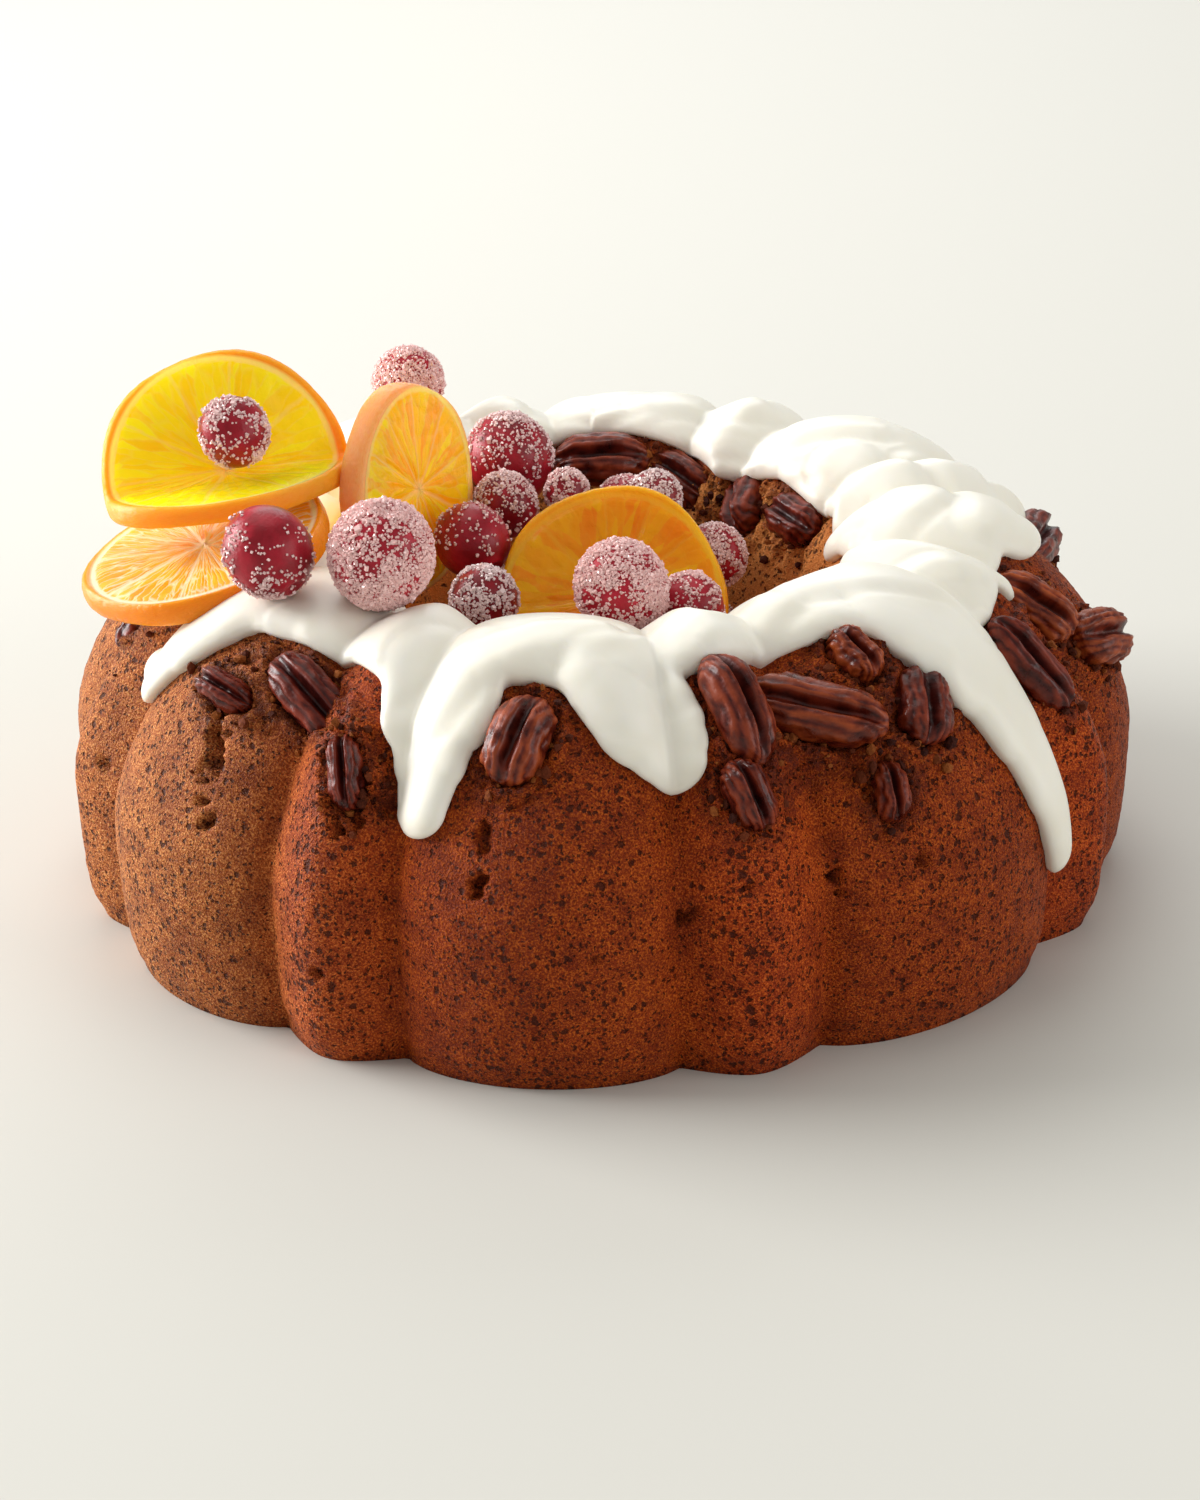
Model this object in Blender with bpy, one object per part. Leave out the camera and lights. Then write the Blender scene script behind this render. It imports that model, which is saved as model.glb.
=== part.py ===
"""A fluted ring cake with poured white icing, baked-in pecan halves, sugared cranberries and orange slices.

Lengths are in metres.  The origin is the middle of the cake's flat underside, +Z is up, and the dressed
side that is meant to be seen faces -Y.  A place on the crust has an azimuth in degrees, which is 0 towards
-Y and grows towards +X, and a distance along the outline of a lobe, from its outer foot over the crown.
"""
import math
import random

import bmesh
import bpy
import numpy as np
from mathutils import Matrix, Vector, noise

# Driving dimensions of the cake
CREST = (
    (.1130, .000), (.1157, .0075), (.1170, .023), (.1165, .037), (.1120, .049),
    (.1047, .060), (.0955, .0695), (.0840, .076), (.0710, .078), (.0600, .0745),
    (.0515, .066), (.0450, .0535), (.0395, .038), (.0345, .019), (.0315, .000),
)
LOBES = 8
FIRST_LOBE = -7.0
WIDE_HALF = 14.75
GROOVE_DEPTH = (
    (0, .0075), (.12, .0085), (.28, .0085), (.42, .0060), (.55, .0040), (.70, .0040), (.85, .0035),
    (1, .0030),
)
RIDGE_DROP = .09
RIDGE_SOFTNESS = .35
GROOVE_SOFTNESS = .12
WIDE_FLUTES = (62, 24, 5.0)
CAKE_ROWS = 13
COLUMN_STOPS = (0, 3.7, 7.4, 10.6, 13.0, 14.75, 16.5, 19.3, 22.5)
GAP = .00035
FLAT_ANGLE = 3

# Rough, nutty patches of crust: azimuth, distance along the outline, radius
CRAGS = (
    (-44, .079, .016), (-27, .065, .014), (-8, .075, .012), (20, .073, .020), (38, .073, .014),
    (68, .069, .018), (176, .122, .020), (150, .124, .020), (124, .122, .012),
)
CRAG_HEIGHT = .0016
CRAG_SIZE = .009

# The poured icing: the band's edges as (azimuth, distance along the outline)
OUTER_EDGE = (
    (-60, .082), (-45, .088), (-35, .089), (-27, .083), (-8, .086), (-2, .084), (12, .088), (22, .092),
    (36, .090), (44, .083), (60, .079), (67, .083), (77, .085), (90, .083), (110, .081), (135, .084),
    (160, .083), (185, .081), (210, .085), (240, .084), (262, .082), (285, .079),
)
INNER_EDGE = (
    (-30, .115), (0, .115), (35, .115), (60, .117), (76, .120), (90, .126), (101, .124), (104, .121),
    (115, .122), (131, .119), (148, .122), (158, .115), (176, .112), (188, .112), (210, .115), (240, .117),
    (270, .118), (300, .117),
)
ICING_DEPTH = .0038
ICING_LIP = .0050
ICING_BLEND = .0030
ICING_SUNK = .0025
ICING_START = .25
STROKE_LIP = 1.4
STROKE_LIP_SHARE = .95
ICING_COLUMNS = 96
ICING_ROWS = 15
ICING_REACH = (.015, .137)

# Drips and overlapping ribbons of icing: (azimuth, distance, half width, depth) along each
DRIPS = (
    ((-56, .092, .010, .0045), (-61.5, .077, .0085, .0045), (-65, .068, .0075, .0042)),
    ((-20, .091, .014, .0045), (-19, .079, .0115, .0045), (-19, .069, .0082, .0045),
     (-19.2, .059, .0060, .0048)),
    ((2.5, .091, .013, .0045), (6.1, .078, .0110, .0045), (8.0, .0700, .0062, .0046)),
    ((48, .091, .016, .0050), (50.5, .073, .0135, .0050), (51.8, .059, .0112, .0050),
     (52.6, .045, .0086, .0048), (53.6, .035, .0068, .0050), (54.8, .0285, .0060, .0053)),
    ((70, .089, .006, .0036), (70.2, .083, .0045, .0036)),
    ((84, .087, .009, .0040), (94, .083, .009, .0040), (104, .078, .007, .0040)),
    ((121, .088, .011, .0042), (120, .073, .0078, .0045), (119.5, .064, .0062, .0046)),
    ((150, .090, .013, .0045), (151.5, .073, .0085, .0045), (152.5, .055, .0066, .0050)),
    ((186, .087, .011, .0042), (187, .076, .0078, .0044), (187.5, .069, .0066, .0045)),
    ((220, .089, .013, .0045), (222.5, .071, .0086, .0045), (224, .053, .0064, .0050)),
    ((265, .087, .012, .0042), (267, .077, .0086, .0044), (268, .070, .0070, .0045)),
    ((90, .113, .011, .0042), (90.5, .121, .0065, .0040)),
)
FOLDS = (
    ((0, .097, .009, .0062), (-8, .095, .009, .0064), (-17, .089, .009, .0062), (-20, .077, .008, .0054)),
    ((14, .101, .008, .0058), (8, .095, .009, .0064), (1, .089, .010, .0058), (4, .080, .008, .0052)),
    ((30, .103, .008, .0056), (20, .098, .009, .0062), (13, .095, .008, .0060), (9, .083, .006, .0050)),
    ((36, .105, .008, .0058), (48, .101, .011, .0072), (58, .092, .011, .0072), (57, .079, .008, .0056)),
    ((118, .109, .010, .0056), (104, .106, .009, .0066), (90, .103, .009, .0064), (74, .111, .008, .0056)),
    ((112, .093, .010, .0056), (98, .089, .009, .0062), (80, .091, .008, .0056)),
    ((168, .103, .009, .0056), (160, .096, .011, .0070), (150, .099, .009, .0058)),
    ((134, .105, .010, .0058), (127, .094, .011, .0070), (121, .083, .009, .0056)),
    ((196, .099, .010, .0056), (208, .093, .011, .0066), (219, .085, .009, .0054)),
    ((248, .103, .010, .0056), (256, .094, .010, .0062), (264, .085, .009, .0054)),
)

# Pecan halves: azimuth, distance, length, width, turn from downhill towards +azimuth, lift
PECANS = (
    (-8.9, .0738, .0190, .0122, -16, .0004),
    (16.4, .0785, .0245, .0108, 11, .0010),
    (15.6, .0608, .0150, .0085, 18, .0002),
    (26.6, .0762, .0290, .0122, 54, .0020),
    (34.8, .0848, .0130, .0085, 5, .0008),
    (39.4, .0698, .0168, .0118, -28, .0012),
    (31.5, .0560, .0125, .0070, -10, -.0002),
    (-38.3, .0788, .0245, .0108, 68, .0008),
    (-48.5, .0720, .0140, .0068, 88, .0002),
    (-28.6, .0640, .0150, .0070, 22, -.0010),
    (61.8, .0665, .0250, .0098, 14, .0010),
    (74.4, .0730, .0200, .0112, 5, .0012),
    (80.0, .0565, .0165, .0120, 60, .0024),
    (178, .1195, .0230, .0125, 90, .0008),
    (159, .122, .0190, .0110, 62, .0008),
    (139.5, .1265, .0165, .0110, 35, .0005),
    (121, .126, .0165, .0105, 85, .0005),
    (104, .066, .0235, .0125, 65, .0010),
    (133, .072, .0265, .0135, 30, .0010),
    (165, .071, .0285, .0145, 72, .0010),
    (203, .072, .0255, .0135, -35, .0010),
    (240, .071, .0275, .0135, 70, .0010),
    (281.5, .0700, .0150, .0085, 15, .0004),
)
PECAN_DEPTH = .0052
PECAN_GROOVE = .0030
PECAN_GROOVE_WIDTH = .22
PECAN_BLUNTNESS = 1.25
PECAN_SIDES = 10
PECAN_RINGS = 5
FRAME_STEP = .004
FRAME_TURN = 2

# Sugared cranberries: place of the middle, radius
BERRIES = (
    (-.0748, -.0150, .104, .0074),
    (-.0655, -.0511, .0905, .0092),
    (-.0426, -.0536, .0901, .0107),
    (-.0429, .0714, .0876, .0083),
    (-.0190, .0438, .0772, .0101),
    (-.0197, .0232, .073, .0073),
    (-.0265, .0002, .073, .0083),
    (-.0229, -.0411, .075, .0072),
    (.0053, -.0479, .0795, .0096),
    (.0195, -.0402, .072, .0071),
    (.0139, .0205, .075, .0060),
    (.0273, .0188, .0615, .0069),
    (-.0058, .0253, .075, .0050),
)
BERRY_STRETCH = 1.05
BERRY_LEAN = 37
BERRY_LEAN_AXIS = (1, .4, .2)

# Orange slices: middle, radius, thickness, lean back, roll and yaw in degrees
SLICES = {
    "orange_slice_back": dict(
        at=(-.0784, -.0070, .0929), radius=.0259, depth=.0044, turn=(66, -5, 12), fold=(0.0, 72, .005)),
    "orange_slice_left": dict(
        at=(-.0815, -.0213, .0792), radius=.0265, depth=.0054, turn=(6, -13, 0), curl=(.012, 4, 20)),
    "orange_slice_side": dict(
        at=(-.0401, .0050, .0837), radius=.0236, depth=.0058, turn=(84, -7, 63)),
    "orange_slice_hole": dict(
        at=(.0036, -.0129, .063), radius=.0252, depth=.0053, turn=(50, 3, -8), curl=(.010, 12, 70)),
}
SLICE_SIDES = 22
SLICE_STRIPS = 5
SLICE_EDGE = .22

# The heap of berries that fills the hole
HEAP_BERRY = .0088
HEAP_PITCH = .0172
HEAP_LAYERS = ((.0430, -1, 1), (.0550, -1, .022), (.0665, .006, .020))
HEAP_BANK = (-117, 45, 18)
HEAP_BANK_RADIUS = .0380
HEAP_BANK_HEIGHT = .0600
HEAP_BANK_BERRY = .0072
HEAP_CORE = ((.0000, .0298), (.0380, .0362))
HEAP_JITTER = .0010
HEAP_SIZES = (.94, 1.04)
HEAP_REACH = 4
HEAP_CORE_SIDES = 24
HEAP_SEED = 5
HOLE_SHARE = .7
WALL_SLOPE = .93

# Colours in linear light
CRUST = (.30, .105, .030, 1)
ICING = (.86, .84, .78, 1)
PECAN = (.14, .040, .018, 1)
BERRY = (.32, .018, .045, 1)
ORANGE = (.95, .42, .02, 1)


def smooth_curve(points, steps=24):
    """Points on a smooth curve through the given ones."""
    knots = np.array(points, float)
    knots = np.vstack([2 * knots[0] - knots[1], knots, 2 * knots[-1] - knots[-2]])
    curve = []
    for before, start, end, after in zip(knots, knots[1:], knots[2:], knots[3:]):
        for t in np.arange(steps) / steps:
            linear = end - before
            square = 2 * before - 5 * start + 4 * end - after
            cube = 3 * start - before - 3 * end + after
            curve.append((2 * start + linear * t + square * t ** 2 + cube * t ** 3) / 2)
    curve.append(knots[-2])
    return np.array(curve)


OUTLINE = smooth_curve(CREST)
ALONG = np.concatenate([[0], np.cumsum(np.hypot(*np.diff(OUTLINE, axis=0).T))])
LENGTH = ALONG[-1]
SLOPE = np.gradient(OUTLINE, ALONG, axis=0)


def crest(s):
    """Radius and height of a lobe's crest, and the outward direction there."""
    radius = np.interp(s, ALONG, OUTLINE[:, 0])
    height = np.interp(s, ALONG, OUTLINE[:, 1])
    out = np.interp(s, ALONG, SLOPE[:, 1])
    up = -np.interp(s, ALONG, SLOPE[:, 0])
    size = np.hypot(out, up)
    return radius, height, out / size, up / size


def turn_gap(azimuth, other):
    """Difference between two azimuths, in degrees, between -180 and 180."""
    return (azimuth - other + 180) % 360 - 180


def flute_shift(azimuth):
    """How far the flutes at an azimuth are turned from an even spacing, in degrees."""
    middle, reach, most = WIDE_FLUTES
    return most * math.exp(-(turn_gap(azimuth, middle) / reach) ** 2)


def groove(azimuth):
    """0 on the crest of a wide lobe, 1 in the groove beside it, and nearly 0 on the narrow ridge."""
    azimuth = azimuth - flute_shift(azimuth)
    sector = 360 / LOBES
    off = abs((azimuth - FIRST_LOBE + sector / 2) % sector - sector / 2)
    across = min(.93 * off / WIDE_HALF, .995)
    wide = (1 - math.sqrt(1 - across ** 2)) / (1 - math.sqrt(1 - .93 ** 2))
    side = (sector / 2 - off) / (sector / 2 - WIDE_HALF)
    soft = RIDGE_SOFTNESS
    rise = (math.sqrt(side ** 2 + soft ** 2) - soft) / (math.sqrt(1 + soft ** 2) - soft)
    ridge = RIDGE_DROP + (1 - RIDGE_DROP) * rise
    mix = min(max(.5 + .5 * (ridge - wide) / GROOVE_SOFTNESS, 0), 1)
    return ridge * (1 - mix) + wide * mix - GROOVE_SOFTNESS * mix * (1 - mix)


def crag(azimuth, s):
    """Height of the rough crust round the baked-in nuts."""
    radius = float(crest(s)[0])
    strength = 0.0
    for patch_azimuth, patch_s, patch_radius in CRAGS:
        across = math.radians(turn_gap(azimuth, patch_azimuth)) * radius
        near = 1 - math.hypot(across, s - patch_s) / patch_radius
        strength = max(strength, min(2 * near, 1))
    if strength <= 0:
        return 0.0
    place = Vector((math.radians(azimuth) * radius, s, 0)) / CRAG_SIZE
    return CRAG_HEIGHT * strength * noise.noise(place)


def on_crust(azimuth, s, lift=0.0):
    """The point at this azimuth and distance, lifted off the crust along the outline's normal."""
    radius, height, out, up = (float(value) for value in crest(s))
    depth = np.interp(s / LENGTH, *zip(*GROOVE_DEPTH)) * groove(azimuth)
    offset = lift - float(depth) + crag(azimuth, s)
    angle = math.radians(azimuth)
    radius += out * offset
    return Vector((radius * math.sin(angle), -radius * math.cos(angle), height + up * offset))


def material(name, colour, roughness):
    """A plain Principled material."""
    made = bpy.data.materials.new(name)
    made.use_nodes = True
    shader = made.node_tree.nodes["Principled BSDF"]
    shader.inputs["Base Color"].default_value = colour
    shader.inputs["Roughness"].default_value = roughness
    shader.inputs["Metallic"].default_value = 0.0
    made.diffuse_color = colour
    return made


def as_object(name, mesh, surface, collection, smooth=True):
    """Makes a named object of a bmesh, closed with triangles, in a collection."""
    bmesh.ops.recalc_face_normals(mesh, faces=mesh.faces)
    bmesh.ops.triangulate(mesh, faces=mesh.faces)
    data = bpy.data.meshes.new(name)
    mesh.to_mesh(data)
    mesh.free()
    if smooth:
        data.shade_smooth()
        data.set_sharp_from_angle(angle=math.radians(40))
    data.materials.append(surface)
    made = bpy.data.objects.new(name, data)
    collection.objects.link(made)
    return made


def grown_copy(piece, gap, collection):
    """A cutter: the piece, a little larger all round."""
    mesh = bmesh.new()
    mesh.from_mesh(piece.data)
    mesh.normal_update()
    moves = [(vert, vert.normal * gap) for vert in mesh.verts]
    for vert, move in moves:
        vert.co += move
    data = bpy.data.meshes.new(piece.name + "_grown")
    mesh.to_mesh(data)
    mesh.free()
    cutter = bpy.data.objects.new(piece.name + "_grown", data)
    cutter.hide_render = True
    cutter.display_type = "WIRE"
    collection.objects.link(cutter)
    return cutter


def largest_body(mesh):
    """Deletes all but the largest connected body of a bmesh."""
    left = set(mesh.verts)
    bodies = []
    while left:
        body = set()
        front = [left.pop()]
        while front:
            vert = front.pop()
            body.add(vert)
            for edge in vert.link_edges:
                other = edge.other_vert(vert)
                if other in left:
                    left.remove(other)
                    front.append(other)
        bodies.append(body)
    keep = max(bodies, key=len)
    bmesh.ops.delete(mesh, geom=[vert for vert in mesh.verts if vert not in keep], context="VERTS")


def boolean(piece, operation, operand=None, collection=None):
    """Joins to or cuts from a piece, applies it, and drops any loose scrap."""
    step = piece.modifiers.new(operation.lower(), "BOOLEAN")
    step.operation = operation
    step.solver = "EXACT"
    if collection:
        step.operand_type = "COLLECTION"
        step.collection = collection
    else:
        step.object = operand
    bpy.context.view_layer.update()
    evaluated = piece.evaluated_get(bpy.context.evaluated_depsgraph_get())
    mesh = bmesh.new()
    mesh.from_mesh(evaluated.to_mesh())
    evaluated.to_mesh_clear()
    piece.modifiers.remove(step)
    bmesh.ops.remove_doubles(mesh, verts=mesh.verts, dist=.00002)
    bmesh.ops.dissolve_degenerate(mesh, edges=mesh.edges, dist=.00002)
    largest_body(mesh)
    bmesh.ops.dissolve_limit(
        mesh, angle_limit=math.radians(FLAT_ANGLE), verts=mesh.verts, edges=mesh.edges)
    bmesh.ops.triangulate(mesh, faces=mesh.faces)
    mesh.to_mesh(piece.data)
    mesh.free()


def column_azimuth(index):
    """Azimuth of a column of the cake's mesh, closer together beside the grooves."""
    stops = len(COLUMN_STOPS) - 1
    sector, place = divmod(index, 2 * stops)
    offset = COLUMN_STOPS[place] if place <= stops else 360 / LOBES - COLUMN_STOPS[2 * stops - place]
    even = FIRST_LOBE + 360 / LOBES * sector + offset
    azimuth = even
    for _ in range(4):
        azimuth = even + flute_shift(azimuth)
    return azimuth


def fluted_cake(surface, collection):
    """The crest's outline, spun into a ring and pressed in along the grooves of the tin."""
    rows = [LENGTH * row / CAKE_ROWS for row in range(CAKE_ROWS + 1)]
    columns = 2 * (len(COLUMN_STOPS) - 1) * LOBES
    mesh = bmesh.new()
    along = mesh.verts.layers.float.new("along")
    ring = []
    for s in rows:
        radius, height = crest(s)[:2]
        vert = mesh.verts.new((0, -radius, height))
        vert[along] = s
        ring.append(vert)
    edges = [mesh.edges.new(pair) for pair in zip(ring, ring[1:] + ring[:1])]
    bmesh.ops.spin(
        mesh, geom=ring + edges, cent=(0, 0, 0), axis=(0, 0, 1), dvec=(0, 0, 0),
        angle=math.tau, steps=columns, use_merge=True, use_duplicate=False)
    for vert in mesh.verts:
        turned = math.degrees(math.atan2(vert.co.x, -vert.co.y)) % 360
        azimuth = column_azimuth(round(turned * columns / 360) % columns)
        foot = vert.co.z < 1e-6
        vert.co = on_crust(azimuth, vert[along])
        if foot:
            vert.co.z = 0
    return as_object("cake", mesh, surface, collection)


def edge_at(stops, azimuth):
    """The band's edge at an azimuth, between its stops and round the seam."""
    azimuths = [stop[0] for stop in stops]
    distances = [stop[1] for stop in stops]
    turned = (azimuth - azimuths[0]) % 360 + azimuths[0]
    return float(np.interp(turned, azimuths + [azimuths[0] + 360], distances + distances[:1]))


def stroke(azimuth, s, path):
    """Signed distance inside a tapering stroke of icing, and the stroke's depth there."""
    best = (-1.0, 0.0)
    for start, end in zip(path, path[1:]):
        radius = float(crest((start[1] + end[1]) / 2)[0])
        scale = math.radians(1) * radius
        run = Vector(((end[0] - start[0]) * scale, end[1] - start[1]))
        here = Vector((turn_gap(azimuth, start[0]) * scale, s - start[1]))
        t = min(max(here.dot(run) / run.length_squared, 0), 1)
        width = start[2] + (end[2] - start[2]) * t
        depth = start[3] + (end[3] - start[3]) * t
        inside = width - (here - run * t).length
        if inside > best[0]:
            best = (inside, depth)
    return best


def soft_max(a, b, blend):
    """The larger of two values, rounded where they meet."""
    mix = min(max(.5 + .5 * (a - b) / blend, 0), 1)
    return b + (a - b) * mix + blend * mix * (1 - mix) / 2


def icing_inside(azimuth, s):
    """Distance inside the icing's edge, negative outside it."""
    inside = min(s - edge_at(OUTER_EDGE, azimuth), edge_at(INNER_EDGE, azimuth) - s)
    for path in DRIPS:
        inside = soft_max(inside, stroke(azimuth, s, path)[0], ICING_BLEND)
    return inside


def domed(inside, lip, depth):
    """Depth of icing a distance inside a rounded lip."""
    across = min(max(inside / lip, 0), 1)
    return depth * math.sqrt(1 - (1 - across) ** 2)


def icing_height(azimuth, s, inside):
    """How far the icing's surface stands off the crust."""
    height = domed(inside, ICING_LIP, ICING_DEPTH)
    for path in DRIPS + FOLDS:
        within, depth = stroke(azimuth, s, path)
        if within > 0:
            lip = min(ICING_LIP * STROKE_LIP, STROKE_LIP_SHARE * path[0][2])
            height = max(height, min(domed(within, lip, depth), domed(inside, ICING_LIP, depth)))
    return height


def snapped_to_edge(mesh, azimuth, along, inside):
    """Moves the vertices nearest the poured edge onto it, so that it isn't stepped."""
    snap = {}
    for edge in mesh.edges:
        a, b = edge.verts
        if (a[inside] > 0) == (b[inside] > 0):
            continue
        t = a[inside] / (a[inside] - b[inside])
        near, far, t = (a, b, t) if t <= .5 else (b, a, 1 - t)
        if t < snap.get(near, (1, 0, 0))[0]:
            step = turn_gap(far[azimuth], near[azimuth])
            snap[near] = (t, near[azimuth] + step * t, near[along] + (far[along] - near[along]) * t)
    for vert, (t, moved_azimuth, moved_along) in snap.items():
        vert[azimuth] = moved_azimuth
        vert[along] = moved_along
        vert[inside] = 0


def poured_icing(surface, collection):
    """A grid laid round the crown, trimmed to the poured edge and given its depth."""
    mesh = bmesh.new()
    azimuth = mesh.verts.layers.float.new("azimuth")
    along = mesh.verts.layers.float.new("along")
    inside = mesh.verts.layers.float.new("inside")
    bmesh.ops.create_grid(mesh, x_segments=ICING_COLUMNS, y_segments=ICING_ROWS, size=.5)
    bmesh.ops.triangulate(mesh, faces=mesh.faces)
    low, high = ICING_REACH
    for vert in mesh.verts:
        vert[azimuth] = 360 * (vert.co.x + .5) % 360
        vert[along] = low + (high - low) * (vert.co.y + .5)
        vert.co = on_crust(vert[azimuth], vert[along], -ICING_SUNK)
    bmesh.ops.remove_doubles(mesh, verts=mesh.verts, dist=.00001)
    for vert in mesh.verts:
        vert[inside] = icing_inside(vert[azimuth], vert[along])
    snapped_to_edge(mesh, azimuth, along, inside)
    outside = [vert for vert in mesh.verts if vert[inside] < 0]
    while outside:
        bmesh.ops.delete(mesh, geom=outside, context="VERTS")
        outside = [vert for vert in mesh.verts if sum(edge.is_boundary for edge in vert.link_edges) != 2
                   and (vert.is_boundary or not vert.link_faces)]
    largest_body(mesh)
    extruded = bmesh.ops.extrude_face_region(mesh, geom=mesh.faces[:])
    tops = {item for item in extruded["geom"] if isinstance(item, bmesh.types.BMVert)}
    for vert in mesh.verts:
        height = -ICING_SUNK
        if vert in tops:
            within = vert[inside] + ICING_LIP * ICING_START
            height = icing_height(vert[azimuth], vert[along], within)
        vert.co = on_crust(vert[azimuth], vert[along], height)
    return as_object("icing", mesh, surface, collection)


def crust_frame(azimuth, s, lift, turn):
    """A frame on the crust: X along the piece, Z away from the crust."""
    here = on_crust(azimuth, s, lift)
    downhill = on_crust(azimuth, s - FRAME_STEP, lift) - on_crust(azimuth, s + FRAME_STEP, lift)
    downhill.normalize()
    around = on_crust(azimuth + FRAME_TURN, s, lift) - on_crust(azimuth - FRAME_TURN, s, lift)
    around.normalize()
    away = around.cross(downhill).normalized()
    if away.dot(on_crust(azimuth, s, lift + FRAME_STEP) - here) < 0:
        away = -away
    angle = math.radians(turn)
    length = (downhill * math.cos(angle) + around * math.sin(angle)).normalized()
    length = (length - away * length.dot(away)).normalized()
    across = away.cross(length)
    frame = Matrix((length, across, away)).transposed().to_4x4()
    return Matrix.Translation(here) @ frame


def pecan_half(name, place, surface, collection):
    """A sphere drawn out to a nut half, with a groove between its two lobes."""
    azimuth, s, length, width, turn, lift = place
    mesh = bmesh.new()
    bmesh.ops.create_uvsphere(
        mesh, u_segments=PECAN_SIDES, v_segments=PECAN_RINGS, radius=1,
        matrix=Matrix.Rotation(math.radians(90), 4, "Y"))
    for vert in mesh.verts:
        x, y, z = vert.co
        blunt = max(1 - abs(x) ** 3, 0) ** .25 / max(1 - x * x, 1e-6) ** .5 if abs(x) < .999 else 1
        y *= min(blunt, PECAN_BLUNTNESS)
        z *= min(blunt, PECAN_BLUNTNESS)
        dip = PECAN_GROOVE * math.exp(-(y / PECAN_GROOVE_WIDTH) ** 2) * (1 - x * x) if z > 0 else 0
        vert.co = Vector((x * length / 2, y * width / 2, z * PECAN_DEPTH - dip))
    bmesh.ops.transform(mesh, matrix=crust_frame(azimuth, s, lift, turn), verts=mesh.verts)
    return as_object(name, mesh, surface, collection)


def cranberry(name, place, surface, collection):
    """A berry, a little longer than it is wide."""
    x, y, z, radius = place
    mesh = bmesh.new()
    bmesh.ops.create_icosphere(mesh, subdivisions=2, radius=radius)
    lean = Matrix.Rotation(BERRY_LEAN * (x + y) / radius, 4, BERRY_LEAN_AXIS)
    size = Matrix.Diagonal((1 / BERRY_STRETCH ** .5, 1 / BERRY_STRETCH ** .5, BERRY_STRETCH, 1))
    bmesh.ops.transform(mesh, matrix=Matrix.Translation((x, y, z)) @ lean @ size, verts=mesh.verts)
    return as_object(name, mesh, surface, collection)


def slice_frame(shape):
    """The frame of an orange slice: X to the right, Y up its face, Z out of its face."""
    lean, roll, yaw = (math.radians(angle) for angle in shape["turn"])
    turned = Matrix.Rotation(yaw, 4, "Z") @ Matrix.Rotation(roll, 4, "Y") @ Matrix.Rotation(lean, 4, "X")
    return Matrix.Translation(shape["at"]) @ turned


def folded(point, start, angle, radius):
    """Bends what lies below the line y = start towards +Z, round a small radius."""
    below = start - point.y
    if below <= 0:
        return point
    angle = math.radians(angle)
    turned = min(below / radius, angle)
    rest = max(below - angle * radius, 0)
    y = start - (radius - point.z) * math.sin(turned) - rest * math.cos(turned)
    z = radius - (radius - point.z) * math.cos(turned) + rest * math.sin(turned)
    return Vector((point.x, y, z))


def curled(point, start, strength, direction):
    """Lifts the side of a slice that lies past start in a direction, as a parabola."""
    angle = math.radians(direction)
    past = point.x * math.cos(angle) + point.y * math.sin(angle) - start
    return point + Vector((0, 0, strength * max(past, 0) ** 2))


def orange_slice(name, shape, surface, collection):
    """A disc, cut in strips across its bend, then bent and set in its place."""
    mesh = bmesh.new()
    bmesh.ops.create_cone(
        mesh, cap_ends=True, segments=SLICE_SIDES, radius1=shape["radius"], radius2=shape["radius"],
        depth=shape["depth"])
    rim = [edge for edge in mesh.edges if abs(edge.verts[0].co.z - edge.verts[1].co.z) < 1e-6]
    edge = shape["depth"] * SLICE_EDGE
    bmesh.ops.bevel(mesh, geom=rim, affect="EDGES", offset=edge, segments=1, profile=.5, material=-1)
    angle = math.radians(shape["curl"][2]) if "curl" in shape else math.radians(90)
    across = Vector((math.cos(angle), math.sin(angle), 0))
    if "fold" in shape or "curl" in shape:
        for strip in range(1, SLICE_STRIPS):
            middle = across * shape["radius"] * (2 * strip / SLICE_STRIPS - 1)
            if "fold" in shape:
                start, bend, bend_radius = shape["fold"]
                bent_length = bend_radius * math.radians(bend)
                middle = across * (start - bent_length * (strip - 1) / (SLICE_STRIPS - 2))
            everything = mesh.verts[:] + mesh.edges[:] + mesh.faces[:]
            bmesh.ops.bisect_plane(mesh, geom=everything, dist=1e-6, plane_co=middle, plane_no=across)
    for vert in mesh.verts:
        if "fold" in shape:
            vert.co = folded(vert.co, *shape["fold"])
        if "curl" in shape:
            vert.co = curled(vert.co, *shape["curl"])
    bmesh.ops.transform(mesh, matrix=slice_frame(shape), verts=mesh.verts)
    return as_object(name, mesh, surface, collection)


def slice_clearance(point, shape):
    """Distance from a point to an orange slice, taken as flat."""
    local = slice_frame(shape).inverted() @ point
    outside = max(math.hypot(local.x, local.y) - shape["radius"], 0)
    above = max(abs(local.z) - shape["depth"] / 2, 0)
    return math.hypot(outside, above)


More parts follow.
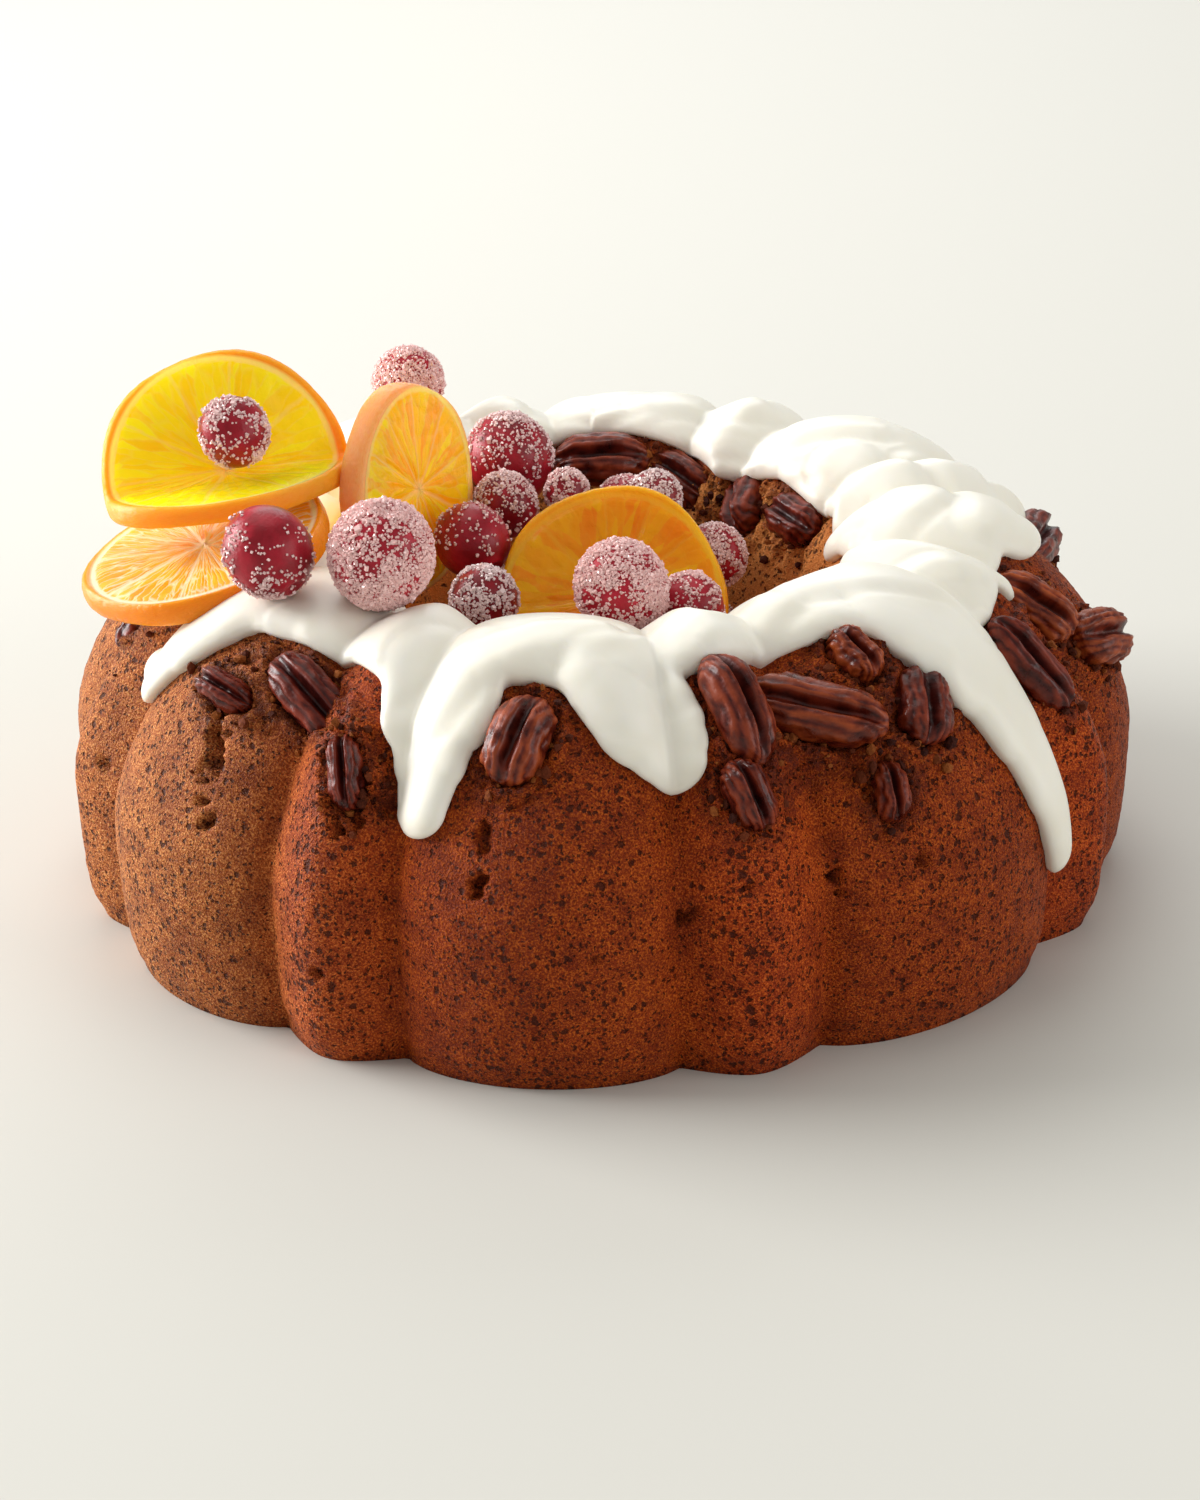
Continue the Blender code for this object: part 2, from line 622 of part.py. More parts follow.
def heap_candidates():
    """Staggered layers of berries, and a bank of smaller ones along the front of the hole's wall."""
    draw = random.Random(HEAP_SEED)
    for layer, (height, least_y, most_x) in enumerate(HEAP_LAYERS):
        shift = layer * HEAP_PITCH / math.sqrt(3)
        for row in range(-HEAP_REACH, HEAP_REACH + 1):
            for column in range(-HEAP_REACH, HEAP_REACH + 1):
                x = (column + row % 2 / 2) * HEAP_PITCH + draw.uniform(-1, 1) * HEAP_JITTER
                y = row * HEAP_PITCH * math.sqrt(3) / 2 + shift + draw.uniform(-1, 1) * HEAP_JITTER
                radius = HEAP_BERRY * draw.uniform(*HEAP_SIZES)
                if y > least_y and x < most_x:
                    yield Vector((x, y, height)), radius
    for azimuth in range(*HEAP_BANK):
        angle = math.radians(azimuth)
        x = HEAP_BANK_RADIUS * math.sin(angle)
        y = -HEAP_BANK_RADIUS * math.cos(angle)
        yield Vector((x, y, HEAP_BANK_HEIGHT)), HEAP_BANK_BERRY


def heap_places():
    """The heap's berries that are clear of the hole's wall and of what lies on them."""
    inner = ALONG > LENGTH * HOLE_SHARE
    wall_height = OUTLINE[inner][::-1, 1]
    wall_radius = OUTLINE[inner][::-1, 0]
    places = []
    for point, radius in heap_candidates():
        wall = float(np.interp(point.z, wall_height, wall_radius))
        if (wall - math.hypot(point.x, point.y)) * WALL_SLOPE < radius + 2 * GAP:
            continue
        if any(slice_clearance(point, shape) < radius + 2 * GAP for shape in SLICES.values()):
            continue
        reach = radius + GAP
        if any((point - Vector(berry[:3])).length < reach + berry[3] * BERRY_STRETCH for berry in BERRIES):
            continue
        places.append((point, radius))
    return places


def heap_of_berries(surface, collection):
    """A core that fills the hole, with the berries that show on top of it joined on."""
    (low, low_radius), (high, high_radius) = HEAP_CORE
    mesh = bmesh.new()
    bmesh.ops.create_cone(
        mesh, cap_ends=True, segments=HEAP_CORE_SIDES, radius1=low_radius, radius2=high_radius,
        depth=high - low, matrix=Matrix.Translation((0, 0, (low + high) / 2)))
    heap = as_object("berry_heap", mesh, surface, collection)
    loose = bpy.data.collections.new("heap pieces")
    bpy.context.scene.collection.children.link(loose)
    for index, (point, radius) in enumerate(heap_places()):
        mesh = bmesh.new()
        turn = Matrix.Rotation(index * 2.4, 4, (.3, 1, .5))
        bmesh.ops.create_icosphere(
            mesh, subdivisions=2, radius=radius, matrix=Matrix.Translation(point) @ turn)
        as_object(f"heap_piece_{index}", mesh, surface, loose)
    boolean(heap, "UNION", collection=loose)
    for piece in list(loose.objects):
        bpy.data.objects.remove(piece)
    bpy.data.collections.remove(loose)
    return heap


def build():
    for old in list(bpy.data.objects):
        bpy.data.objects.remove(old)
    scene = bpy.context.scene
    parts = bpy.data.collections.new("cranberry_cake")
    cutters = bpy.data.collections.new("cutters")
    toppings = bpy.data.collections.new("topping cutters")
    for collection in (parts, cutters, toppings):
        scene.collection.children.link(collection)

    crust = material("baked crust", CRUST, .75)
    sugar_icing = material("sugar icing", ICING, .35)
    nut = material("pecan", PECAN, .5)
    berry_skin = material("sugared cranberry", BERRY, .55)
    fruit = material("orange", ORANGE, .4)

    cake = fluted_cake(crust, parts)
    grown_cake = grown_copy(cake, GAP, cutters)
    nuts = []
    for index, place in enumerate(PECANS, 1):
        nuts.append(pecan_half(f"pecan_{index:02d}", place, nut, parts))
        grown_copy(nuts[-1], GAP, toppings)
        boolean(nuts[-1], "DIFFERENCE", operand=grown_cake)
    for index, place in enumerate(BERRIES, 1):
        grown_copy(cranberry(f"cranberry_{index:02d}", place, berry_skin, parts), GAP, toppings)
    for name, shape in SLICES.items():
        grown_copy(orange_slice(name, shape, fruit, parts), GAP, toppings)
    icing = poured_icing(sugar_icing, parts)
    boolean(icing, "DIFFERENCE", operand=grown_cake)
    boolean(icing, "DIFFERENCE", collection=toppings)
    heap_of_berries(berry_skin, parts)


build()
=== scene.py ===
# %% [markdown]
# # A fluted ring cake, dressed from its solid model
# The solids of the cake, its icing, nuts, berries and orange slices are the frame.  This lesson keeps their
# sizes and places, and makes the surface of each one again with the detail that the real food has.
# Everything is in metres, +Z is up, and the dressed side of the cake faces -Y.

# %% The frame and its box
import functools
import math
import random

import bmesh
import bpy
import numpy as np
from mathutils import Matrix, Vector, noise


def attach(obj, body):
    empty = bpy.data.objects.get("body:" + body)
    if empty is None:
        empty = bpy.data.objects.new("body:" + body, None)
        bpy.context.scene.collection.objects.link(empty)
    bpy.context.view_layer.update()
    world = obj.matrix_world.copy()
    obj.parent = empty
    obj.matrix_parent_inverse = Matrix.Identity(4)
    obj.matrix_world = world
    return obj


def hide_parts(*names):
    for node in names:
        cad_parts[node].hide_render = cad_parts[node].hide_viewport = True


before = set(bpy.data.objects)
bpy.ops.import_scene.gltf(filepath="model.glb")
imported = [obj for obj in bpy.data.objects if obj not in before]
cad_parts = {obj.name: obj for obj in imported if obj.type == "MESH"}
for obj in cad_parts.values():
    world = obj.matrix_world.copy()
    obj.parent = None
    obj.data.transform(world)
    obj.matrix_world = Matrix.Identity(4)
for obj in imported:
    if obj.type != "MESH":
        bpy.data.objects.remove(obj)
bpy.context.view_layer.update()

MM = .001

# %% [markdown]
# The camera stands in front of the cake and looks down at it by about 24 degrees.  A long lens from two
# thirds of a metre keeps the ring from looking stretched, and a slight roll is what a hand-held picture has.

# %% The camera
CAMERA_PLACE = (.0002, -.6556, .3104)
CAMERA_DOWN = 23.7
CAMERA_ROLL = -1.4
CAMERA_LENS = 76.7

camera_data = bpy.data.cameras.new("camera")
camera_data.lens = CAMERA_LENS
camera_data.sensor_width = 36
camera_data.sensor_fit = "AUTO"
camera = bpy.data.objects.new("camera", camera_data)
bpy.context.scene.collection.objects.link(camera)
down = Matrix.Rotation(math.radians(90 - CAMERA_DOWN), 4, "X")
roll = Matrix.Rotation(math.radians(CAMERA_ROLL), 4, "Z")
camera.matrix_world = Matrix.Translation(CAMERA_PLACE) @ (down @ roll)
bpy.context.scene.camera = camera

# %% [markdown]
# Each finish is a node material.  A few helpers keep them short: one turns a colour picked as sRGB hex into
# the linear light that Blender works in, one fills a node's inputs, and one adds a node with its choice and
# its links.  Each finish gets that last one already tied to its own material, under the name add.

# %% Colour and node helpers
CHOICE = {  # the setting that says what a kind of node does
    "Math": "operation", "MixRGB": "blend_type", "TexVoronoi": "feature", "MapRange": "interpolation_type",
    "Attribute": "attribute_name",
}


def linear(hexadecimal):
    """A colour given as sRGB hex, in linear light, with alpha."""
    channels = [int(hexadecimal[i:i + 2], 16) / 255 for i in (1, 3, 5)]
    return tuple(c / 12.92 if c <= .04045 else ((c + .055) / 1.055) ** 2.4 for c in channels) + (1,)


def fill(made, *values, **inputs):
    """Gives a node's inputs, in order or by name, a value, a hex colour or the output that feeds them."""
    for name, value in [*enumerate(values), *inputs.items()]:
        socket = made.inputs[name.replace("_", " ") if isinstance(name, str) else name]
        if isinstance(value, bpy.types.NodeSocket):
            made.id_data.links.new(value, socket)
        else:
            socket.default_value = linear(value) if isinstance(value, str) else value


def node(tree, kind, choice=None, *values, out=0, **inputs):
    """Adds a node, makes its choice, fills its inputs, and returns one of its outputs.

    The choice of a colour ramp is its stops, each a position and a hex colour or a grey value.
    """
    made = tree.nodes.new("ShaderNode" + kind)
    if isinstance(choice, str):
        setattr(made, CHOICE[kind], choice)
    elif choice:
        elements = made.color_ramp.elements
        while len(elements) < len(choice):
            elements.new(.5)
        for element, (position, colour) in zip(elements, choice):
            element.position = position
            element.color = linear(colour) if isinstance(colour, str) else (colour, colour, colour, 1)
    fill(made, *values, **inputs)
    return made.outputs[out]


def new_material(name, **settings):
    """A Principled material with values on its shader; returns it, its own node adder, and the shader."""
    made = bpy.data.materials.new(name)
    made.use_nodes = True
    shader = made.node_tree.nodes["Principled BSDF"]
    fill(shader, **settings)
    return made, functools.partial(node, made.node_tree), shader


# %% [markdown]
# Each mesh is built as a bmesh, or as arrays of copies of a shape that a bmesh operator makes.  These helpers
# turn one into the other, and write values on the vertices that a finish can read.

# %% Mesh helpers
def to_data(mesh, name):
    """Mesh data from a bmesh, which is then freed."""
    data = bpy.data.meshes.new(name)
    mesh.to_mesh(data)
    mesh.free()
    return data


def template(operator, **settings):
    """The vertices and faces of the shape that a bmesh operator makes, as rows."""
    mesh = bmesh.new()
    operator(mesh, **settings)
    points = np.array([vert.co for vert in mesh.verts])
    faces = np.array([[vert.index for vert in face.verts] for face in mesh.faces])
    mesh.free()
    return points, faces


def write_values(data, **values):
    """Writes numbers or vectors on the vertices of mesh data, as named attributes."""
    for name, rows in values.items():
        kind, slot = ("FLOAT", "value") if rows.ndim == 1 else ("FLOAT_VECTOR", "vector")
        data.attributes.new(name, kind, "POINT").data.foreach_set(slot, rows.ravel())


# %% [markdown]
# A pale table in a bright room, with one big window on the left, is what such a picture is taken with.  The
# window stands low and a little behind the cake, so the left flanks are twice as light as the front and each
# fold of the icing shows.  A soft top light keeps the icing bright, a card on the right fills the shade, and
# a wash keeps the table behind the cake pale.
# Colours are shown as they are, with the Standard view, since a film-like view would grey the white icing.

# %% The floor and the lights
FLOOR_SIZE = 6.0
WORLD_STRENGTH = .42
table, _, _ = new_material("pale table", Base_Color="#D2D0C8", Roughness=.7)

mesh = bmesh.new()
bmesh.ops.create_grid(mesh, x_segments=1, y_segments=1, size=FLOOR_SIZE / 2)
floor = bpy.data.objects.new("floor", to_data(mesh, "floor"))
floor.data.materials.append(table)
bpy.context.scene.collection.objects.link(floor)

LIGHTS = (  # name, place, what it is aimed at, size, power in watts, colour
    ("window", (-1.47, .42, .52), (0, 0, .05), 1.1, 45, "#FFFFFF"),
    ("top", (-.3, .45, 1.5), (0, 0, .05), 1.3, 7, "#FFFEFA"),
    ("right_card", (1.45, -.65, .50), (0, 0, .05), 1.2, 10, "#FFFFFF"),
    ("back_wash", (0, 1.9, 1.1), (0, 1.4, 0), 1.4, 15, "#FBFDFF"),
)
for name, place, target, size, power, colour in LIGHTS:
    light = bpy.data.lights.new(name, "AREA")
    light.size = size
    light.energy = power
    light.color = linear(colour)[:3]
    lamp = bpy.data.objects.new(name, light)
    bpy.context.scene.collection.objects.link(lamp)
    aim = Vector(target) - Vector(place)
    lamp.matrix_world = Matrix.Translation(place) @ aim.to_track_quat("-Z", "Y").to_matrix().to_4x4()

world = bpy.data.worlds.new("studio")
world.use_nodes = True
fill(world.node_tree.nodes["Background"], Color="#FBFBF8", Strength=WORLD_STRENGTH)
bpy.context.scene.world = world
bpy.context.scene.view_settings.view_transform = "Standard"
print("lights:", [light[0] for light in LIGHTS])

# %% [markdown]
# ## The crust
# The tin gives the cake its form: a tall ring with eight wide lobes and a narrow ridge between each two.
# Every place on it is an azimuth (0 towards -Y, growing towards +X) and a distance along the outline of a
# lobe, from its outer foot over the crown and down into the hole.  The functions below turn such places into
# points, many at a time, so that the same rules can carry a fine surface, the icing and the nuts.

# %% The outline of a lobe
CREST = (
    (.1130, .000), (.1157, .0075), (.1170, .023), (.1165, .037), (.1120, .049),
    (.1047, .060), (.0955, .0695), (.0840, .076), (.0710, .078), (.0600, .0745),
    (.0515, .066), (.0450, .0535), (.0395, .038), (.0345, .019), (.0315, .000),
)
LOBES = 8
SECTOR = 360 / LOBES
FIRST_LOBE = -7.0
WIDE_HALF = 14.75
LOBE_ROUNDNESS = .93
GROOVE_DEPTH = (  # share of the outline, depth
    (0, .0075), (.12, .0085), (.28, .0085), (.42, .0060), (.55, .0040), (.70, .0040), (.85, .0035),
    (1, .0030),
)
RIDGE_DROP = .09
RIDGE_SOFTNESS = .35
GROOVE_SOFTNESS = .12
SHIFTED_FLUTES = (62, 24, 5.0)  # azimuth, reach, and the most that flutes are shifted there


def smooth_curve(points, steps=24):
    """Points on a smooth curve through the given ones."""
    knots = np.array(points, float)
    knots = np.vstack([2 * knots[0] - knots[1], knots, 2 * knots[-1] - knots[-2]])
    curve = []
    for before, start, end, after in zip(knots, knots[1:], knots[2:], knots[3:]):
        for t in np.arange(steps) / steps:
            first = end - before
            square = 2 * before - 5 * start + 4 * end - after
            cube = 3 * start - before - 3 * end + after
            curve.append((2 * start + first * t + square * t ** 2 + cube * t ** 3) / 2)
    curve.append(knots[-2])
    return np.array(curve)


OUTLINE = smooth_curve(CREST)
ALONG = np.concatenate([[0], np.cumsum(np.hypot(*np.diff(OUTLINE, axis=0).T))])
LENGTH = ALONG[-1]
SLOPE = np.gradient(OUTLINE, ALONG, axis=0)
print(f"outline {LENGTH * 1000:.0f} mm long, {OUTLINE[:, 1].max() * 1000:.0f} mm high")


# %% Places on the crust
def crest(s):
    """Radius and height of a lobe's crest, and the outward direction there."""
    out = np.interp(s, ALONG, SLOPE[:, 1])
    up = -np.interp(s, ALONG, SLOPE[:, 0])
    size = np.hypot(out, up)
    return np.interp(s, ALONG, OUTLINE[:, 0]), np.interp(s, ALONG, OUTLINE[:, 1]), out / size, up / size


def soft_max(a, b, blend):
    """The larger of two values, rounded where they meet."""
    mix = np.clip(.5 + .5 * (a - b) / blend, 0, 1)
    return b + (a - b) * mix + blend * mix * (1 - mix) / 2


def turn_gap(azimuth, other):
    """Difference between two azimuths, in degrees, between -180 and 180."""
    return (azimuth - other + 180) % 360 - 180


def off_lobe(azimuth):
    """Degrees between an azimuth and the middle of its wide lobe."""
    return np.abs((azimuth - FIRST_LOBE + SECTOR / 2) % SECTOR - SECTOR / 2)


def groove(azimuth):
    """0 on the crest of a wide lobe, 1 in the groove beside it, and nearly 0 on the narrow ridge."""
    middle, reach, most = SHIFTED_FLUTES
    off = off_lobe(azimuth - most * np.exp(-(turn_gap(azimuth, middle) / reach) ** 2))
    across = np.minimum(LOBE_ROUNDNESS * off / WIDE_HALF, .995)
    wide = (1 - np.sqrt(1 - across ** 2)) / (1 - math.sqrt(1 - LOBE_ROUNDNESS ** 2))
    side = (SECTOR / 2 - off) / (SECTOR / 2 - WIDE_HALF)
    soft = RIDGE_SOFTNESS
    rise = (np.sqrt(side ** 2 + soft ** 2) - soft) / (math.sqrt(1 + soft ** 2) - soft)
    ridge = RIDGE_DROP + (1 - RIDGE_DROP) * rise
    mix = np.clip(.5 + .5 * (ridge - wide) / GROOVE_SOFTNESS, 0, 1)
    return ridge * (1 - mix) + wide * mix - GROOVE_SOFTNESS * mix * (1 - mix)


def smooth_on_crust(azimuth, s, lift=0.0):
    """Points at these azimuths and distances, lifted off the bare form of the cake, as an array of rows."""
    azimuth, s, lift = np.broadcast_arrays(np.asarray(azimuth, float), s, lift)
    radius, height, out, up = crest(s)
    offset = lift - np.interp(s / LENGTH, *zip(*GROOVE_DEPTH)) * groove(azimuth)
    angle = np.radians(azimuth)
    radius = radius + out * offset
    return np.stack([radius * np.sin(angle), -radius * np.cos(angle), height + up * offset], axis=-1)


# %% [markdown]
# The nuts burst through the crust while it bakes, so round them it is torn, dark and moist.  These patches
# are the same as in the solid, where they are coarse relief; here they also get crumb-sized relief.  The
# rest of the crust is pierced by small pores, finer where it touched the tin closely and coarser on ridges.

# %% Rough patches and holes in the crust
CRAGS = (  # azimuth, distance, radius
    (-44, .079, .016), (-27, .065, .014), (-8, .075, .012), (20, .073, .020), (38, .073, .014),
    (68, .069, .018), (176, .122, .020), (150, .124, .020), (124, .122, .012),
)
PECANS = (  # azimuth, distance, length, width, turn from downhill towards +azimuth, lift
    (-8.9, .0738, .0190, .0122, -16, .0004),
    (16.4, .0785, .0245, .0108, 11, .0010),
    (15.6, .0608, .0150, .0085, 18, .0002),
    (26.6, .0762, .0290, .0122, 54, .0020),
    (34.8, .0848, .0130, .0085, 5, .0008),
    (39.4, .0698, .0168, .0118, -28, .0012),
    (31.5, .0560, .0125, .0070, -10, -.0002),
    (-38.3, .0788, .0245, .0108, 68, .0008),
    (-48.5, .0720, .0140, .0068, 88, .0002),
    (-28.6, .0640, .0150, .0070, 22, -.0010),
    (61.8, .0665, .0250, .0098, 14, .0010),
    (74.4, .0730, .0200, .0112, 5, .0012),
    (80.0, .0565, .0165, .0120, 60, .0024),
    (178, .1195, .0230, .0125, 90, .0008),
    (159, .122, .0190, .0110, 62, .0008),
    (139.5, .1265, .0165, .0110, 35, .0005),
    (121, .126, .0165, .0105, 85, .0005),
    (104, .066, .0235, .0125, 65, .0010),
    (133, .072, .0265, .0135, 30, .0010),
    (165, .071, .0285, .0145, 72, .0010),
    (203, .072, .0255, .0135, -35, .0010),
    (240, .071, .0275, .0135, 70, .0010),
    (281.5, .0700, .0150, .0085, 15, .0004),
)
CRAG_HEIGHT = .0016
CRAG_SIZE = .009
CRUMB_HEIGHT = .0013
CRUMB_SIZE = .0024
COLLAR_HEIGHT = .0013
COLLAR_REACH = .0055
CREVICE_DEPTH = .0008

HOLES = (  # azimuth, distance, radius across, radius along, depth
    (-12.0, .045, .0017, .0022, .0026), (-11.6, .0545, .0013, .0042, .0018),
    (33.0, .041, .0013, .0018, .0020), (24.5, .039, .0013, .0032, .0026),
    (8.0, .036, .0017, .0019, .0024), (9.2, .038, .0016, .0012, .0016),
    (-46.0, .059, .0026, .0050, .0026), (-47.5, .067, .0018, .0038, .0024),
    (-27.5, .0585, .0036, .0050, .0030), (-24.0, .059, .0026, .0026, .0022),
    (-44.0, .047, .0014, .0020, .0020), (-45.2, .050, .0012, .0010, .0014),
    (-29.0, .021, .0011, .0016, .0018), (-1.0, .030, .0009, .0011, .0012),
    (14.5, .043, .0010, .0012, .0014), (17.5, .019, .0010, .0012, .0014),
    (70.0, .045, .0012, .0022, .0018), (-70.0, .041, .0012, .0020, .0018),
    (96.0, .043, .0014, .0024, .0020), (139.0, .045, .0014, .0020, .0020),
    (171.0, .038, .0012, .0026, .0020), (205.0, .046, .0015, .0022, .0022),
    (236.0, .036, .0013, .0020, .0020), (262.0, .049, .0014, .0026, .0022),
)
HOLE_RAGGED = ((.75, .0024), (.55, .0010))  # strength and size of the noise on a hole's edge
FINE_RELIEF = ((.00013, .0011), (.00016, .0035), (.00030, .016))  # height and size


def noise_at(points, size, octaves=1):
    """Smooth noise at rows of points, with features of a size in metres."""
    scaled = np.asarray(points) / size
    if octaves == 1:
        return np.array([noise.noise(Vector(point)) for point in scaled])
    return np.array([noise.fractal(Vector(point), .6, 2, octaves) for point in scaled])


def patch_strength(azimuth, s):
    """1 inside a rough patch, falling to 0 at its edge."""
    radius = crest(s)[0]
    strength = np.zeros(np.shape(s))
    for patch_azimuth, patch_s, patch_radius in CRAGS:
        across = np.radians(turn_gap(azimuth, patch_azimuth)) * radius
        near = 1 - np.hypot(across, s - patch_s) / patch_radius
        strength = np.maximum(strength, np.clip(2 * near, 0, 1))
    return strength


def crag(azimuth, s, strength):
    """Height of the rough crust round the baked-in nuts."""
    height = np.zeros(np.shape(s))
    rough = strength > 0
    if rough.any():
        turned = (azimuth[rough] + 180) % 360 - 180
        flat = np.stack([np.radians(turned) * crest(s[rough])[0], s[rough], 0 * turned], axis=-1)
        height[rough] = CRAG_HEIGHT * strength[rough] * noise_at(flat, CRAG_SIZE)
    return height


def holes(azimuth, s, points):
    """Depth of the torn holes in the crust."""
    depth = np.zeros(np.shape(s))
    radius = crest(s)[0]
    for hole_azimuth, hole_s, across, along, deep in HOLES:
        offset = np.radians(turn_gap(azimuth, hole_azimuth)) * radius
        away = np.hypot(offset / across, (s - hole_s) / along)
        close = away < 1.8
        if close.any():
            ragged = sum(strength * noise_at(points[close], size) for strength, size in HOLE_RAGGED)
            inside = np.clip((1.05 - away[close] + ragged) / .40, 0, 1)
            depth[close] = np.maximum(depth[close], deep * inside * (1 + .5 * ragged))
    return depth


def beside_nuts(azimuth, s):
    """How far each place on the crust lies outside the nearest nut's edge, negative under a nut."""
    radius = crest(s)[0]
    nearest = np.full(np.shape(s), 1.0)
    for nut_azimuth, nut_s, length, width, turn, _ in PECANS:
        around = np.radians(turn_gap(azimuth, nut_azimuth)) * radius
        down = nut_s - s
        angle = math.radians(turn)
        lengthwise = down * math.cos(angle) + around * math.sin(angle)
        across = around * math.cos(angle) - down * math.sin(angle)
        reach = np.hypot(lengthwise / length, across / width) * 2
        away = np.hypot(lengthwise, across)
        nearest = np.minimum(nearest, away * (1 - 1 / np.maximum(reach, 1e-3)))
    return nearest


def collar(gap, points):
    """Height of the torn crust round a nut: a lip that stands up unevenly, with a crevice at the nut."""
    ragged = np.zeros(len(gap))
    close = (gap > -.004) & (gap < COLLAR_REACH)
    ragged[close] = noise_at(points[close], .0045) + .5 * noise_at(points[close], .0016)
    lip = np.exp(-((gap - COLLAR_REACH * .34) / (COLLAR_REACH * .26)) ** 2) * (.75 + 1.3 * ragged)
    crevice = np.exp(-((gap - .0002) / .0009) ** 2)
    return np.where(close, COLLAR_HEIGHT * lip - CREVICE_DEPTH * crevice, 0)


def on_crust(azimuth, s, lift=0.0):
    """Points on the crust with its rough patches, as rows."""
    spread = np.broadcast_arrays(np.asarray(azimuth, float), s, lift)
    azimuth, s, lift = (np.atleast_1d(value) for value in spread)
    return smooth_on_crust(azimuth, s, lift + crag(azimuth, s, patch_strength(azimuth, s)))


# %% [markdown]
# The cake itself is one grid, wrapped round the ring.  Its rows lie close together on the outer wall, which
# shows, and far apart under the icing and low in the hole, which don't.  The seam is welded and the flat
# underside is one bridge between the two feet, which closes the solid.

# %% A helper for finished pieces
def finished(name, mesh, material, slot, *replaced, smooth=True):
    """Turns a bmesh, or mesh data, into a piece of the cake that stands for some solids."""
    data = mesh
    if isinstance(mesh, bmesh.types.BMesh):
        bmesh.ops.recalc_face_normals(mesh, faces=mesh.faces)
        data = to_data(mesh, name)
    if smooth:
        data.shade_smooth()
    for surface in material if isinstance(material, list) else [material]:
        data.materials.append(surface)
    piece = bpy.data.objects.new(name, data)
    bpy.context.scene.collection.objects.link(piece)
    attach(piece, "root")
    if replaced:
        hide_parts(*replaced)
    faces = sum(len(face.vertices) - 2 for face in data.polygons)
    print(f"{name}: {faces} triangles")
    return piece


# %% The crust's surface
CRUST_COLUMNS = 700
CRUST_ROWS = ((0, 0), (.30, .030), (.84, .098), (.90, .113), (.975, .150), (1, LENGTH))
CRUST_ROW_COUNT = 141


def crust_relief(azimuth, s):
    """Height of the crust's whole relief at each place, and how torn the crust is there."""
    points = smooth_on_crust(azimuth, s)
    strength = patch_strength(azimuth, s)
    lift = crag(azimuth, s, strength)
    gap = beside_nuts(azimuth, s)
    strength = np.maximum(strength, np.clip(1.3 - gap / COLLAR_REACH, 0, 1))
    lift += strength * (CRUMB_HEIGHT * (noise_at(points, CRUMB_SIZE, 3) - .15)) + collar(gap, points)
    for height, size in FINE_RELIEF:
        lift += height * noise_at(points, size)
    depth = holes(azimuth, s, points)
    return lift - depth, np.maximum(strength, np.clip(depth / .0010, 0, 1))


def crust_surface():
    """A grid wrapped round the ring and pressed into the tin's form."""
    mesh = bmesh.new()
    bmesh.ops.create_grid(mesh, x_segments=CRUST_COLUMNS, y_segments=CRUST_ROW_COUNT, size=.5)
    flat = np.array([vert.co for vert in mesh.verts])
    data = to_data(mesh, "crust grid")
    azimuth = 360 * (flat[:, 0] + .5)
    s = np.interp(flat[:, 1] + .5, *zip(*CRUST_ROWS))
    lift, strength = crust_relief(azimuth % 360, s)
    foot = (s < 1e-6) | (s > LENGTH - 1e-6)
    lift[foot] = 0
    points = smooth_on_crust(azimuth % 360, s, lift)
    points[foot, 2] = 0
    points[:, 2] = np.maximum(points[:, 2], 0)
    data.vertices.foreach_set("co", points.ravel())
    narrow = np.clip(1.3 - (SECTOR / 2 - off_lobe(azimuth)) / (SECTOR / 2 - WIDE_HALF), 0, 1)
    write_values(data, torn=strength, ridge=groove(azimuth % 360), narrow=narrow, along=s / LENGTH)
    mesh = bmesh.new()
    mesh.from_mesh(data)
    bpy.data.meshes.remove(data)
    bmesh.ops.remove_doubles(mesh, verts=mesh.verts, dist=1e-6)
    feet = [edge for edge in mesh.edges if edge.is_boundary]
    bmesh.ops.bridge_loops(mesh, edges=feet)
    return mesh


# %% [markdown]
# Baked crust is browned sponge: matt, warm brown, darker in random patches, and full of pores.
# Crumb-scale noise varies the colour, Voronoi cells open the pores and paint them dark as painted shade, and
# the "torn" attribute of the surface turns the crust round the nuts dark and moist.  The pores are up to two
# millimetres wide.  The narrow ridges are redder.  The side at -X, which faces the window, is painted paler
# as painted light, and so is the wall of the hole, against the shade in it.

# %% The crust's finish
PORES = (  # cell in mm, share of the cells without a pore, widest pore's radius in cells
    (1.05, .02, .52), (1.9, .30, .46), (3.5, .72, .29),
)


